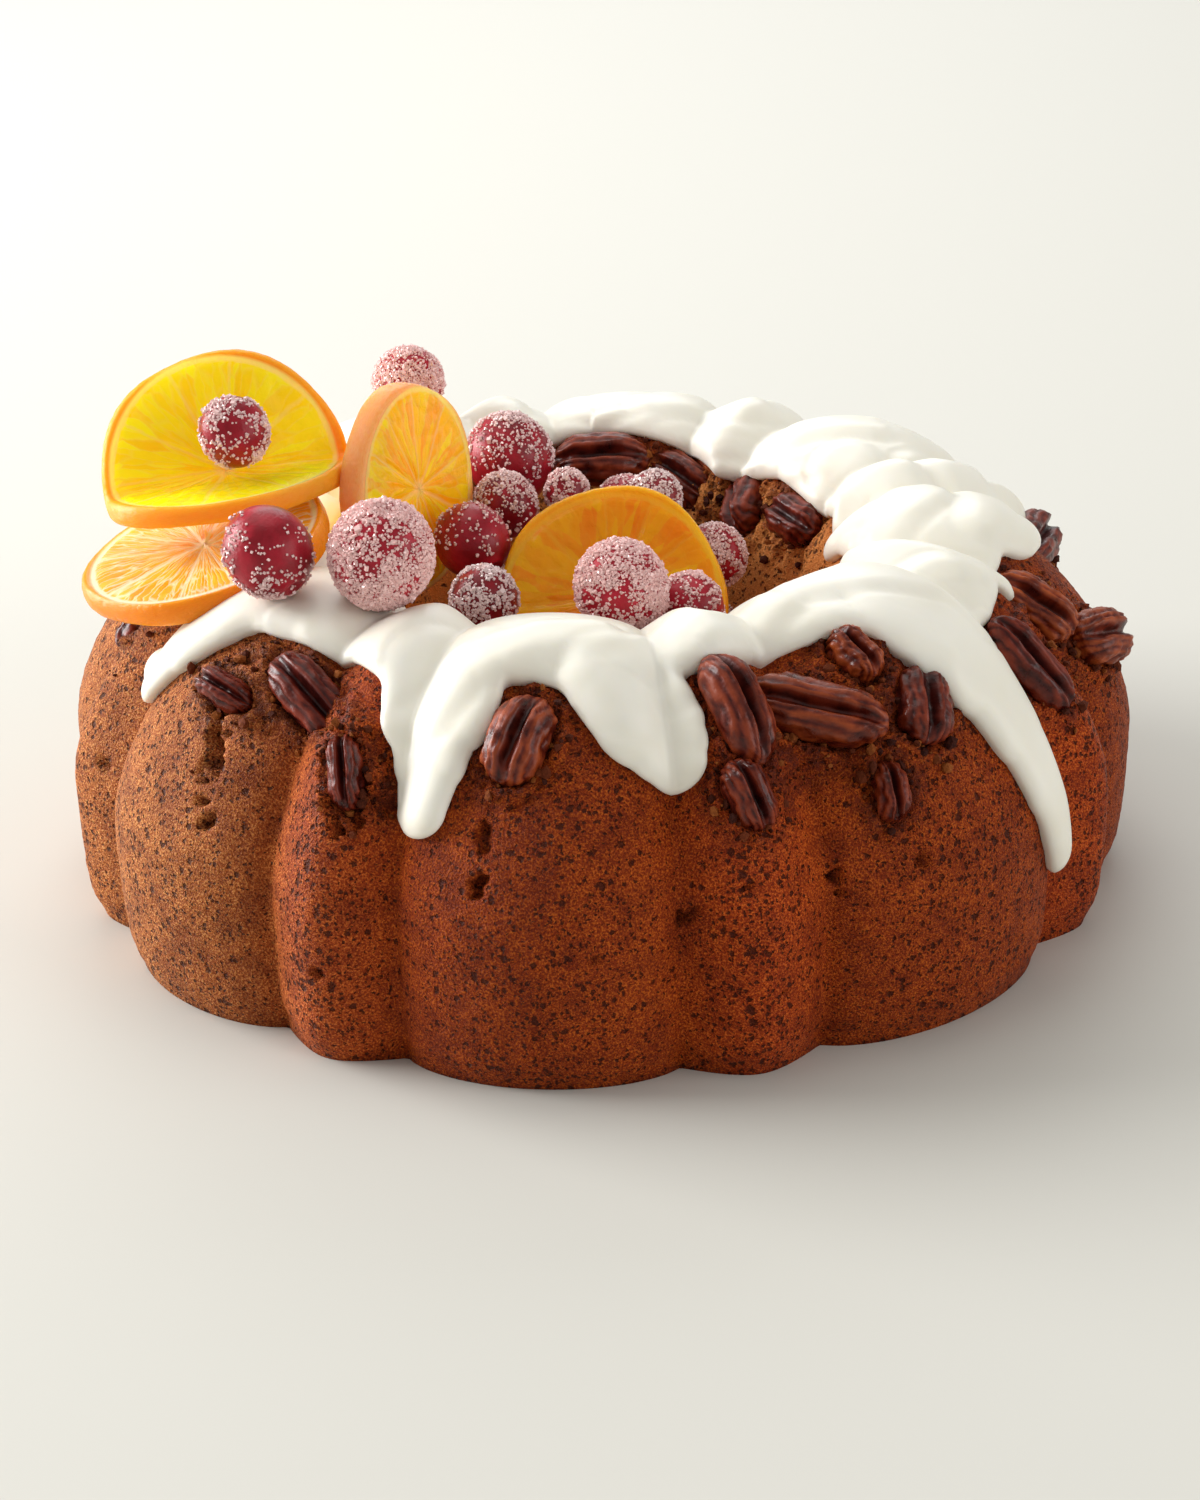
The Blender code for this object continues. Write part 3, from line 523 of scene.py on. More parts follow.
def crust_finish():
    made, add, shader = new_material("baked sponge crust", Specular_IOR_Level=.13)
    place = add("TexCoord", out="Object")
    torn, valley, narrow, along = (
        add("Attribute", name, out="Fac") for name in ("torn", "ridge", "narrow", "along"))
    inner = add("MapRange", None, along, .60, .64, 0, 1)

    ragged = add("TexNoise", Vector=place, Scale=1 / (.8 * MM), Detail=2, out="Color")
    bent = add("MixRGB", "LINEAR_LIGHT", .0007, place, ragged)
    broad = add("TexNoise", Vector=place, Scale=1 / (24 * MM), Detail=3, Roughness=.6)
    mottle = add("TexNoise", Vector=place, Scale=1 / (7 * MM), Detail=3, Roughness=.6)
    grain = add("TexNoise", Vector=place, Scale=1 / (.42 * MM), Detail=2, Roughness=.6)
    clump = add("TexNoise", Vector=place, Scale=1 / (4.5 * MM), Detail=4, Roughness=.7)

    wide = add("MapRange", None, valley, 0, .8, 1.0, .65)
    coarse = add("Math", "MULTIPLY_ADD", narrow, .18, wide)
    pit = 0.0
    for cell, least, widest in PORES:
        distance = add("TexVoronoi", "F1", Vector=bent, Scale=1 / (cell * MM), Randomness=1)
        pick = add("SeparateColor", None, distance.node.outputs["Color"])
        size = add("MapRange", None, pick, least, 1, .001, widest)
        size = add("Math", "MULTIPLY", size, coarse)
        depth = add("MapRange", None, distance, 0, size, 2.2, 0)
        pit = add("Math", "MAXIMUM", pit, depth)
        pit.node.use_clamp = True

    base = add("ValToRGB", [(.34, "#A15924"), (.50, "#B2662B"), (.66, "#C47A36")], broad)
    crumb = add("ValToRGB", [(.34, "#7E350E"), (.50, "#B6682E"), (.66, "#FFBE74")], grain)
    brown = add("MixRGB", None, .75, base, crumb)
    mottled = add("ValToRGB", [(.36, "#B49888"), (.58, "#FFFFFF")], mottle)
    shaded = add("MixRGB", "MULTIPLY", .6, brown, mottled)
    x = add("SeparateXYZ", None, place)
    # Painted light: the toast fades out towards -X, so the side that faces the window is painted paler.
    baked = add("MapRange", "SMOOTHSTEP", x, -.100, -.035, .22, 1)
    # Painted light: the hole's wall gets no toast, so it is painted paler against the shade in the hole.
    baked = add("Math", "SUBTRACT", baked, inner)
    baked.node.use_clamp = True
    toast = add("MixRGB", None, narrow, "#D38F4A", "#EC9C60")
    toasted_with_painted_light = add("MixRGB", "MULTIPLY", baked, shaded, toast)
    # Painted light: the hole's wall is also mixed towards a pale orange.
    with_hole_wall_painted_light = add("MixRGB", None, add("Math", "MULTIPLY", inner, .6), toasted_with_painted_light, "#F59A50")
    # Painted shade: the pores are coloured a near-black brown for the shade inside them.
    with_painted_pore_shade = add("MixRGB", None, add("Math", "MULTIPLY", pit, .86), with_hole_wall_painted_light, "#3C1004")
    moist = add("Math", "MULTIPLY", torn, add("ValToRGB", [(.42, .7), (.58, .05)], clump))
    # In the hole the torn crust takes the pale open crumb instead of the moist colour: torn crumb, brightened
    # as painted light against the hole's shade.
    open_crumb = add("ValToRGB", [(.40, "#8A3C14"), (.48, "#DC8640"), (.60, "#FFC07C")], clump)
    moist_and_hole_painted_light = add("MixRGB", None, inner, "#45170F", open_crumb)

    relief = add("Math", "MULTIPLY_ADD", pit, -2.2, grain)
    relief = add("Math", "MULTIPLY_ADD", mottle, 1.0, relief)
    fill(shader, Base_Color=add("MixRGB", None, moist, with_painted_pore_shade, moist_and_hole_painted_light),
         Roughness=add("MapRange", None, moist, 0, 1, .54, .34),
         Normal=add("Bump", Height=relief, Strength=1.0, Distance=.65 * MM))
    return made


finished("crust", crust_surface(), crust_finish(), "crust", "cake")

# %% [markdown]
# ## The icing
# Poured sugar icing finds its own level: it stands a few millimetres deep with a rounded lip, runs down the
# sides in drips, and where ribbons of it fall on each other they leave soft folds.  The outline is a band
# with tapering strokes joined to it, and the depth is the highest of some domes.  The top sheet is trimmed
# from a grid, given depth, and its side wall bulges a little beyond the foot, as a bead of liquid does.

# %% The icing's edges, drips and folds
OUTER_EDGE = (  # azimuth, distance
    (-60, .082), (-45, .088), (-35, .089), (-27, .083), (-8, .086), (-2, .084), (12, .088), (22, .092),
    (36, .090), (44, .083), (60, .079), (67, .083), (77, .085), (90, .083), (110, .081), (135, .084),
    (160, .083), (185, .081), (210, .085), (240, .084), (262, .082), (285, .079),
)
INNER_EDGE = (
    (-30, .115), (0, .115), (35, .115), (60, .117), (76, .120), (90, .126), (101, .124), (104, .121),
    (115, .122), (131, .119), (148, .122), (158, .115), (176, .112), (188, .112), (210, .115), (240, .117),
    (270, .118), (300, .117),
)
ICING_DEPTH = .0038
ICING_LIP = .0050
ICING_BLEND = .0030
ICING_SUNK = .0025
EDGE_INSET = .0008
ICING_COLUMNS = 640
ICING_ROWS = 128
ICING_REACH = (.015, .137)
DRIPS = (  # along each: azimuth, distance, half width, depth
    ((-56, .092, .010, .0045), (-61.5, .077, .0085, .0045), (-65, .068, .0075, .0042)),
    ((-20, .091, .014, .0045), (-19, .079, .0115, .0045), (-19, .069, .0082, .0045),
     (-19.2, .059, .0060, .0048)),
    ((2.5, .091, .013, .0045), (5.8, .078, .0104, .0045), (7.4, .0735, .0084, .0045),
     (8.3, .0700, .0064, .0046)),
    ((48, .091, .016, .0050), (50.5, .073, .0135, .0050), (51.8, .059, .0112, .0050),
     (52.6, .045, .0086, .0048), (53.6, .035, .0068, .0050), (54.8, .0285, .0060, .0053)),
    ((70, .089, .006, .0036), (70.2, .083, .0045, .0036)),
    ((84, .087, .009, .0040), (94, .083, .009, .0040), (104, .078, .007, .0040)),
    ((121, .088, .011, .0042), (120, .073, .0078, .0045), (119.5, .064, .0062, .0046)),
    ((150, .090, .013, .0045), (151.5, .073, .0085, .0045), (152.5, .055, .0066, .0050)),
    ((186, .087, .011, .0042), (187, .076, .0078, .0044), (187.5, .069, .0066, .0045)),
    ((220, .089, .013, .0045), (222.5, .071, .0086, .0045), (224, .053, .0064, .0050)),
    ((265, .087, .012, .0042), (267, .077, .0086, .0044), (268, .070, .0070, .0045)),
    ((90, .113, .011, .0042), (90.5, .121, .0065, .0040)),
)
FOLDS = (  # the same, for the soft folds on the band
    ((0, .097, .009, .0062), (-8, .095, .009, .0064), (-17, .089, .009, .0062), (-20, .077, .008, .0054)),
    ((14, .101, .008, .0058), (8, .095, .009, .0064), (1, .089, .010, .0058), (4, .080, .008, .0052)),
    ((30, .103, .008, .0056), (20, .098, .009, .0062), (13, .095, .008, .0060), (9, .083, .006, .0050)),
    ((36, .105, .008, .0050), (48, .101, .011, .0059), (58, .092, .011, .0059), (57, .079, .008, .0049)),
    ((118, .109, .010, .0049), (104, .106, .009, .0055), (90, .103, .009, .0054), (74, .111, .008, .0049)),
    ((112, .093, .010, .0049), (98, .089, .009, .0053), (80, .091, .008, .0049)),
    ((168, .103, .009, .0049), (160, .096, .011, .0058), (150, .099, .009, .0050)),
    ((134, .105, .010, .0050), (127, .094, .011, .0058), (121, .083, .009, .0049)),
    ((196, .099, .010, .0049), (208, .093, .011, .0055), (219, .085, .009, .0048)),
    ((248, .103, .010, .0049), (256, .094, .010, .0053), (264, .085, .009, .0048)),
)
FOLD_BLEND = .0036
FOLD_SOFTNESS = .95


def edge_at(stops, azimuth):
    """The band's edge at some azimuths, between its stops and round the seam."""
    azimuths = [stop[0] for stop in stops]
    distances = [stop[1] for stop in stops]
    turned = (azimuth - azimuths[0]) % 360 + azimuths[0]
    return np.interp(turned, azimuths + [azimuths[0] + 360], distances + distances[:1])


def stroke(azimuth, s, path):
    """Signed distance inside a tapering stroke of icing, and the stroke's depth there."""
    best = np.full(np.shape(s), -1.0)
    deep = np.zeros(np.shape(s))
    for start, end in zip(path, path[1:]):
        scale = math.radians(1) * float(crest((start[1] + end[1]) / 2)[0])
        run = np.array([(end[0] - start[0]) * scale, end[1] - start[1]])
        here = np.stack([turn_gap(azimuth, start[0]) * scale, s - start[1]])
        t = np.clip((here[0] * run[0] + here[1] * run[1]) / (run @ run), 0, 1)
        inside = start[2] + (end[2] - start[2]) * t - np.hypot(here[0] - run[0] * t, here[1] - run[1] * t)
        deep = np.where(inside > best, start[3] + (end[3] - start[3]) * t, deep)
        best = np.maximum(best, inside)
    return best, deep


def icing_inside(azimuth, s):
    """Distance inside the icing's edge, negative outside it."""
    inside = np.minimum(s - edge_at(OUTER_EDGE, azimuth), edge_at(INNER_EDGE, azimuth) - s)
    for path in DRIPS:
        inside = soft_max(inside, stroke(azimuth, s, path)[0], ICING_BLEND)
    return inside - EDGE_INSET


def domed(inside, lip, depth, softness=.5):
    """Depth of icing a distance inside a lip, which is round at a softness of .5 and flatter above it."""
    across = np.clip(inside / lip, 0, 1)
    return depth * (1 - (1 - across) ** 2) ** softness


def icing_height(azimuth, s, inside):
    """How far the icing's surface stands off the crust."""
    height = domed(inside, ICING_LIP, ICING_DEPTH)
    for path in DRIPS + FOLDS:
        within, depth = stroke(azimuth, s, path)
        lip = min(ICING_LIP * 1.4, .95 * path[0][2])
        softness = FOLD_SOFTNESS if path in FOLDS else .5
        ribbon = np.minimum(domed(within, lip, depth, softness), domed(inside, ICING_LIP, depth))
        height = np.where(within > 0, soft_max(height, ribbon, FOLD_BLEND), height)
    return height


# %% The icing's surface
WALL_CUTS = 5
WALL_BULGE = .0007
TRIMMED_BEYOND = .004
LIP_START = .25
SLOPE_STEP = .0004
SLOPE_RADIUS = .1


def snap_to_edge(mesh, azimuth, along, inside):
    """Moves the vertices nearest the poured edge onto it, so that it isn't stepped."""
    snap = {}
    for edge in mesh.edges:
        a, b = edge.verts
        if (a[inside] > 0) == (b[inside] > 0):
            continue
        t = a[inside] / (a[inside] - b[inside])
        near, far, t = (a, b, t) if t <= .5 else (b, a, 1 - t)
        if t < snap.get(near, (1, 0, 0))[0]:
            step = turn_gap(far[azimuth], near[azimuth])
            snap[near] = (t, near[azimuth] + step * t, near[along] + (far[along] - near[along]) * t)
    for vert, (t, moved_azimuth, moved_along) in snap.items():
        vert[azimuth] = moved_azimuth
        vert[along] = moved_along
        vert[inside] = 0


def keep_largest_body(mesh):
    """Deletes all but the largest connected body."""
    left = set(mesh.verts)
    bodies = []
    while left:
        body = set()
        front = [left.pop()]
        while front:
            vert = front.pop()
            body.add(vert)
            for edge in vert.link_edges:
                other = edge.other_vert(vert)
                if other in left:
                    left.remove(other)
                    front.append(other)
        bodies.append(body)
    keep = max(bodies, key=len)
    bmesh.ops.delete(mesh, geom=[vert for vert in mesh.verts if vert not in keep], context="VERTS")


def icing_surface():
    """A grid laid round the crown, trimmed to the poured edge, given depth and a bulging wall."""
    mesh = bmesh.new()
    layers = mesh.verts.layers.float
    azimuth, along, inside, level = (layers.new(name) for name in ("azimuth", "along", "inside", "level"))
    bmesh.ops.create_grid(mesh, x_segments=ICING_COLUMNS, y_segments=ICING_ROWS, size=.5)
    bmesh.ops.triangulate(mesh, faces=mesh.faces)
    low, high = ICING_REACH
    flat = np.array([vert.co for vert in mesh.verts])
    turned = 360 * (flat[:, 0] + .5)
    turned[np.isclose(turned, 360)] = 0
    distance = low + (high - low) * (flat[:, 1] + .5)
    points = smooth_on_crust(turned, distance)
    depth_inside = icing_inside(turned, distance)
    for vert, place, a, s, i in zip(mesh.verts, points, turned, distance, depth_inside):
        vert.co = place
        vert[azimuth] = a
        vert[along] = s
        vert[inside] = i
    far_out = [vert for vert in mesh.verts if vert[inside] < -TRIMMED_BEYOND]
    bmesh.ops.delete(mesh, geom=far_out, context="VERTS")
    bmesh.ops.remove_doubles(mesh, verts=mesh.verts, dist=1e-6)
    snap_to_edge(mesh, azimuth, along, inside)
    outside = [vert for vert in mesh.verts if vert[inside] < 0]
    while outside:
        bmesh.ops.delete(mesh, geom=outside, context="VERTS")
        outside = [vert for vert in mesh.verts if sum(edge.is_boundary for edge in vert.link_edges) != 2
                   and (vert.is_boundary or not vert.link_faces)]
    keep_largest_body(mesh)
    extruded = bmesh.ops.extrude_face_region(mesh, geom=mesh.faces[:])
    for item in extruded["geom"]:
        if isinstance(item, bmesh.types.BMVert):
            item[level] = 1
    wall = [edge for edge in mesh.edges if edge.verts[0][level] != edge.verts[1][level]]
    bmesh.ops.subdivide_edges(mesh, edges=wall, cuts=WALL_CUTS, use_grid_fill=True)
    values = np.array([(vert[azimuth], vert[along], vert[inside], vert[level]) for vert in mesh.verts])
    a, s, i, part = values.T
    step = SLOPE_STEP
    turn_step = math.degrees(step / SLOPE_RADIUS)
    across = (icing_inside(a + turn_step, s) - icing_inside(a - turn_step, s)) / (2 * step)
    down = (icing_inside(a, s + step) - icing_inside(a, s - step)) / (2 * step)
    size = np.maximum(np.hypot(across, down), 1e-6)
    top = icing_height(a, s, np.maximum(i, 0) + ICING_LIP * LIP_START)
    height = -ICING_SUNK + (top + ICING_SUNK) * part
    shown = np.clip(height / np.maximum(top, 1e-6), 0, 1)
    bulge = WALL_BULGE * np.sqrt(np.clip(1 - (2 * shown - 1) ** 2, 0, 1))
    bulge = np.where((part > 0) & (part < 1), bulge, 0)
    a = a - np.degrees(across / size * bulge / crest(s)[0])
    s = s - down / size * bulge
    points = on_crust(a, s, height)
    for vert, place in zip(mesh.verts, points):
        vert.co = place
    return mesh


# %% [markdown]
# Sugar icing is a thick paste of fine sugar and water: opaque, satin and nearly white, with a slight warm
# tint that varies from place to place.  A little light spreads below its surface, which softens the folds.

# %% The icing's finish
def icing_finish():
    made, add, shader = new_material(
        "poured sugar icing", Roughness=.38, Subsurface_Weight=.25, Subsurface_Scale=2.5 * MM,
        Subsurface_Radius=(1.0, .85, .6), Specular_IOR_Level=.40)
    place = add("TexCoord", out="Object")
    broad = add("TexNoise", Vector=place, Scale=1 / (18 * MM), Detail=2)
    soft = add("TexNoise", Vector=place, Scale=1 / (7 * MM), Detail=2)
    fill(shader, Base_Color=add("ValToRGB", [(.35, "#F1ECDD"), (.65, "#F6F2E6")], broad),
         Normal=add("Bump", Height=soft, Strength=.25, Distance=.8 * MM))
    return made


finished("icing_coat", icing_surface(), icing_finish(), "icing", "icing")

# %% [markdown]
# ## The pecans
# A pecan half is two long lobes with a deep groove between them, and its brown skin has lengthwise wrinkles.
# Each nut starts as a sphere with its poles at the nut's ends, is drawn out to the size and place of its
# solid, and gets the groove, the wrinkles and a little unevenness of its own.

# %% Nuts: places and shape
NUT_SUNK = .0006
PALE_NUTS = {1: .45, 4: .50, 5: .60, 6: .10, 8: 0, 9: 0, 10: 0, 12: .80, 13: .60, 19: .6, 20: .5}
PECAN_DEPTH = .0052
PECAN_GROOVE = .0036
PECAN_SIDES = 60
PECAN_RINGS = 50
WRINKLE = .00060
WRINKLES_ACROSS = 3.5
BLUNTEST = 1.12
NUT_DENTS = ((.00035, .28), (.00016, .09))  # height, and size in half lengths
NUT_ARCH = .0008


def unit(vector):
    """The vector at length 1."""
    return vector / np.linalg.norm(vector)


def crust_frame(azimuth, s, lift, turn):
    """Origin and axes of a frame on the crust: X along the piece, Z away from the crust."""
    here = on_crust(azimuth, s, lift)[0]
    downhill = unit(on_crust(azimuth, s - .004, lift)[0] - on_crust(azimuth, s + .004, lift)[0])
    around = unit(on_crust(azimuth + 2, s, lift)[0] - on_crust(azimuth - 2, s, lift)[0])
    away = unit(np.cross(around, downhill))
    if away @ (on_crust(azimuth, s, lift + .01)[0] - here) < 0:
        away = -away
    angle = math.radians(turn)
    lengthwise = downhill * math.cos(angle) + around * math.sin(angle)
    lengthwise = unit(lengthwise - away * (lengthwise @ away))
    return here, np.array([lengthwise, np.cross(away, lengthwise), away])


def pecan_half(number, place):
    """A sphere drawn out to a wrinkled nut half, with a groove between its two lobes."""
    azimuth, s, length, width, turn, lift = place
    mesh = bmesh.new()
    bmesh.ops.create_uvsphere(
        mesh, u_segments=PECAN_SIDES, v_segments=PECAN_RINGS, radius=1,
        matrix=Matrix.Rotation(math.radians(90), 4, "Y"))
    x, y, z = np.array([vert.co for vert in mesh.verts]).T
    round_end = np.maximum(1 - x * x, 1e-6) ** .5
    blunt = np.where(np.abs(x) < .999, np.maximum(1 - np.abs(x) ** 3, 0) ** .25 / round_end, 1)
    y, z = (value * np.minimum(blunt, BLUNTEST) for value in (y, z))
    own = np.stack([x * 1.5 + 7.1 * number, y, z], axis=-1)
    sway = noise_at(own, .8) * .35 + noise_at(own * (1, 2, 2), .35) * .12
    fade = np.clip((1 - np.abs(x)) * 4, 0, 1)
    dip = np.where(z > 0, PECAN_GROOVE * np.exp(-((y + .05 * sway) / .17) ** 2) * (1 - x * x) ** .6, 0)
    wrinkle = np.abs(np.sin(math.pi * (WRINKLES_ACROSS * (y + .5 * sway) + .5))) ** .7 - .6
    swell = WRINKLE * wrinkle * fade
    for height, size in NUT_DENTS:
        swell = swell + height * noise_at(own, size)
    points = np.stack([x * length / 2, y * width / 2, z * PECAN_DEPTH - dip], axis=-1)
    outward = np.stack([x / length, y / width, z / (2 * PECAN_DEPTH)], axis=-1)
    points += outward / np.maximum(np.linalg.norm(outward, axis=1, keepdims=True), 1e-9) * swell[:, None]
    points[:, 2] += NUT_ARCH * np.sin(2.2 * x + number)
    here, axes = crust_frame(azimuth, s, lift - NUT_SUNK, turn)
    for vert, point in zip(mesh.verts, here + points @ axes):
        vert.co = point
    bmesh.ops.recalc_face_normals(mesh, faces=mesh.faces)
    data = to_data(mesh, f"pecan_half_{number:02d}")
    grain = np.stack([x * length / 2 + .1 * number, y * width / 2, z * PECAN_DEPTH], axis=-1)
    pale = np.full(len(x), PALE_NUTS.get(number, .12 + .1 * math.sin(number)))
    # The relief also sets the nut's colour, which paints shade in the wrinkles and the groove and light on
    # the crests.
    write_values(data, nut=grain, raised=wrinkle - 200 * dip, pale=pale)
    return data


# %% [markdown]
# Roasted pecan skin is thin, dry to slightly oily and red-brown; it is darkest where syrup soaked it.  Its
# colour follows the relief: the wrinkles and the middle groove are painted darker as painted shade, and the
# crests are paler, partly where the skin is rubbed off and partly as painted light.  Fine grain runs along
# the nut.

# %% The nuts' finish
def pecan_finish():
    made, add, shader = new_material("roasted pecan skin", Specular_IOR_Level=.32)
    nut = add("Attribute", "nut", out="Vector")
    raised, pale = (add("Attribute", name, out="Fac") for name in ("raised", "pale"))
    along = add("Mapping", Vector=nut, Scale=(1 / (9 * MM), 1 / (2.6 * MM), 1 / (2.6 * MM)))
    grain = add("TexNoise", Vector=along, Scale=1, Detail=3, Roughness=.6)
    fine = add("TexNoise", Vector=nut, Scale=1 / (.6 * MM), Detail=2)
    blotch = add("TexNoise", Vector=nut, Scale=1 / (4 * MM), Detail=3)
    # Painted shade and light, partly rubbed skin: the colour runs from dark in the wrinkles and the groove to
    # pale on the crests.
    height = add("MapRange", None, raised, -.6, .4, .10, .66)
    mixed = add("Math", "MULTIPLY_ADD", grain, .30, height)
    dark = add("ValToRGB", [(.20, "#2C0806"), (.50, "#56150C"), (.85, "#863018")], mixed)
    light = add("ValToRGB", [(.20, "#4A1408"), (.50, "#822B0E"), (.85, "#BC5C26")], mixed)
    colour = add("MixRGB", None, pale, dark, light)
    spots = add("ValToRGB", [(.36, "#8C6058"), (.58, "#FFFFFF")], blotch)
    surface = add("Math", "MULTIPLY_ADD", fine, .5, grain)
    fill(shader, Base_Color=add("MixRGB", "MULTIPLY", .85, colour, spots),
         Roughness=add("MapRange", None, blotch, .3, .7, .24, .46),
         Normal=add("Bump", Height=surface, Strength=.35, Distance=.4 * MM))
    return made


nut_skin = pecan_finish()
for number, place in enumerate(PECANS, 1):
    name = f"pecan_half_{number:02d}"
    finished(name, pecan_half(number, place), nut_skin, "pecan", f"pecan_{number:02d}")

# %% [markdown]
# Where the nuts tore the crust it sheds crumbs.  A crumb is a rough ball of sponge between half a millimetre
# and nearly three millimetres wide.  One small icosphere is copied hundreds of times, each with its own size
# and dents, and the copies are sown most thickly beside the nuts, resting on the relief of the crust.

# %% The crumbs
CRUMB_COUNT = 900
CRUMB_TRIES = 14000
CRUMB_WIDTHS = (.0006, .0028)
CRUMB_SPREAD = .0022
CRUMB_OUTER_SHARE = .75
CRUMB_DENT = .30


def loose_crumbs():
    """Mesh data with all the crumbs that lie on the torn crust."""
    draw = np.random.default_rng(12)
    outer = draw.uniform(size=CRUMB_TRIES) < CRUMB_OUTER_SHARE
    azimuth = draw.uniform(-100, 260, CRUMB_TRIES)
    s = np.where(outer, draw.uniform(.046, .094, CRUMB_TRIES), draw.uniform(.112, .140, CRUMB_TRIES))
    gap = beside_nuts(azimuth, s)
    chance = np.exp(-np.abs(gap) / CRUMB_SPREAD) + .22 * patch_strength(azimuth, s)
    bare = (icing_inside(azimuth, s) < -.0012) & (gap > -.0006)
    kept = np.flatnonzero(bare & (draw.uniform(size=CRUMB_TRIES) < chance))[:CRUMB_COUNT]
    azimuth, s = azimuth[kept], s[kept]
    width = CRUMB_WIDTHS[0] + (CRUMB_WIDTHS[1] - CRUMB_WIDTHS[0]) * draw.uniform(size=len(kept)) ** 2.6
    middle = smooth_on_crust(azimuth, s, crust_relief(azimuth, s)[0] + .22 * width)
    ball, ball_faces = template(bmesh.ops.create_icosphere, subdivisions=1, radius=.5)
    dents = 1 + draw.uniform(-CRUMB_DENT, CRUMB_DENT, (len(kept), len(ball), 1))
    stretch = draw.uniform(.7, 1.2, (len(kept), 1, 3))
    points = middle[:, None, :] + ball[None] * dents * stretch * width[:, None, None]
    faces = ball_faces[None] + len(ball) * np.arange(len(kept))[:, None, None]
    data = bpy.data.meshes.new("loose_crumbs")
    data.from_pydata(points.reshape(-1, 3).tolist(), [], faces.reshape(-1, 3).tolist())
    tone = np.repeat(draw.uniform(size=len(kept)) * np.where(s > .1, 1, .75), len(ball))
    write_values(data, tone=tone)
    return data


def crumb_finish():
    made, add, shader = new_material("torn sponge crumb", Roughness=.75, Specular_IOR_Level=.15)
    place = add("TexCoord", out="Object")
    tone = add("Attribute", "tone", out="Fac")
    grain = add("TexNoise", Vector=place, Scale=1 / (.5 * MM), Detail=2)
    mixed = add("Math", "MULTIPLY_ADD", grain, .4, tone)
    fill(shader,
         Base_Color=add("ValToRGB", [(.15, "#2C0C07"), (.65, "#642A10"), (1, "#A05A26")], mixed),
         Normal=add("Bump", Height=grain, Strength=.8, Distance=.3 * MM))
    return made


finished("loose_crumbs", loose_crumbs(), crumb_finish(), "crust", smooth=False)

# %% [markdown]
# ## The sugared berries
# A fresh cranberry is a firm, slightly pointed ball of deep crimson with a small star-shaped dimple.  Rolled
# in sugar it carries thousands of grains about a third of a millimetre wide, thick in places and thin in
# others.  The grains are real little blocks, all turned differently, joined to the berry's mesh as arrays.

# %% Berries: places and shape
BERRIES = (  # middle, radius, share of the skin that sugar covers, how far the cover leans up, redness
    (-.0748, -.0150, .104, .0074, .30, .5, .55),
    (-.0655, -.0511, .0905, .0092, .12, -.6, .60),
    (-.0426, -.0536, .0901, .0107, .78, .1, .95),
    (-.0429, .0714, .0876, .0083, .75, .2, .95),
    (-.0190, .0438, .0772, .0101, .13, 1.0, .45),
    (-.0197, .0232, .073, .0073, .22, .9, .45),
    (-.0265, .0002, .073, .0083, .0, .4, .60),
    (-.0229, -.0411, .075, .0072, .46, .5, .10),
    (.0053, -.0479, .0795, .0096, .68, .1, .95),
    (.0195, -.0402, .072, .0071, .22, .5, .90),
    (.0139, .0205, .075, .0060, .36, .7, .1),
    (.0273, .0188, .0615, .0069, .50, .4, .60),
    (-.0058, .0253, .075, .0050, .45, .5, .5),
)
BERRY_STRETCH = 1.05
BERRY_DETAIL = 5
DIMPLE_DEPTH = .0009
GRAIN_SIZE = .00037
GRAIN_SPACING = .00038
GRAIN_SHARE = .95
GRAIN_OUT = .28
GRAIN_SPREAD = .28


def berry_points(directions, place, number):
    """The skin of a berry in some directions from its middle."""
    x, y, z, radius = place
    lean = Matrix.Rotation(37 * (x + y) / radius, 4, (1, .4, .2)).to_3x3()
    turned = directions @ np.array(lean)
    stretch = np.array([BERRY_STRETCH ** -.5, BERRY_STRETCH ** -.5, BERRY_STRETCH])
    lumps = .018 * noise_at(turned * 1.0 + 5.3 * number, .9) + .006 * noise_at(turned + 3.1 * number, .3)
    near_tip = np.hypot(turned[:, 0], turned[:, 1])
    dimple = np.where(turned[:, 2] > 0, DIMPLE_DEPTH / radius * np.exp(-(near_tip / .16) ** 2), 0)
    rim = np.where(turned[:, 2] > 0, .35 * DIMPLE_DEPTH / radius * np.exp(-((near_tip - .26) / .08) ** 2), 0)
    local = turned * stretch * (1 + lumps - dimple + rim)[:, None] * radius
    return np.array([x, y, z]) + local @ np.array(lean).T


def sphere_directions(count, draw):
    """Evenly spread directions, with a little unevenness."""
    index = np.arange(count) + .5
    height = 1 - 2 * index / count
    turn = index * math.pi * (3 - math.sqrt(5))
    flat = np.sqrt(1 - height ** 2)
    directions = np.stack([flat * np.cos(turn), flat * np.sin(turn), height], axis=-1)
    directions += draw.normal(0, .6 / math.sqrt(count), directions.shape)
    return directions / np.linalg.norm(directions, axis=1, keepdims=True)


def sugar_cover(directions, cover, upward, number):
    """How much sugar lies in each direction, from 0 to 1, in patches."""
    patchy = noise_at(directions + 11.7 * number, .55) + .6 * noise_at(directions + 4.9 * number, .22)
    unevenness = .75 * min(1, .25 + 2.5 * cover)
    return np.clip(cover + .45 * upward * directions[:, 2] * (1 - cover) + unevenness * patchy, 0, 1)


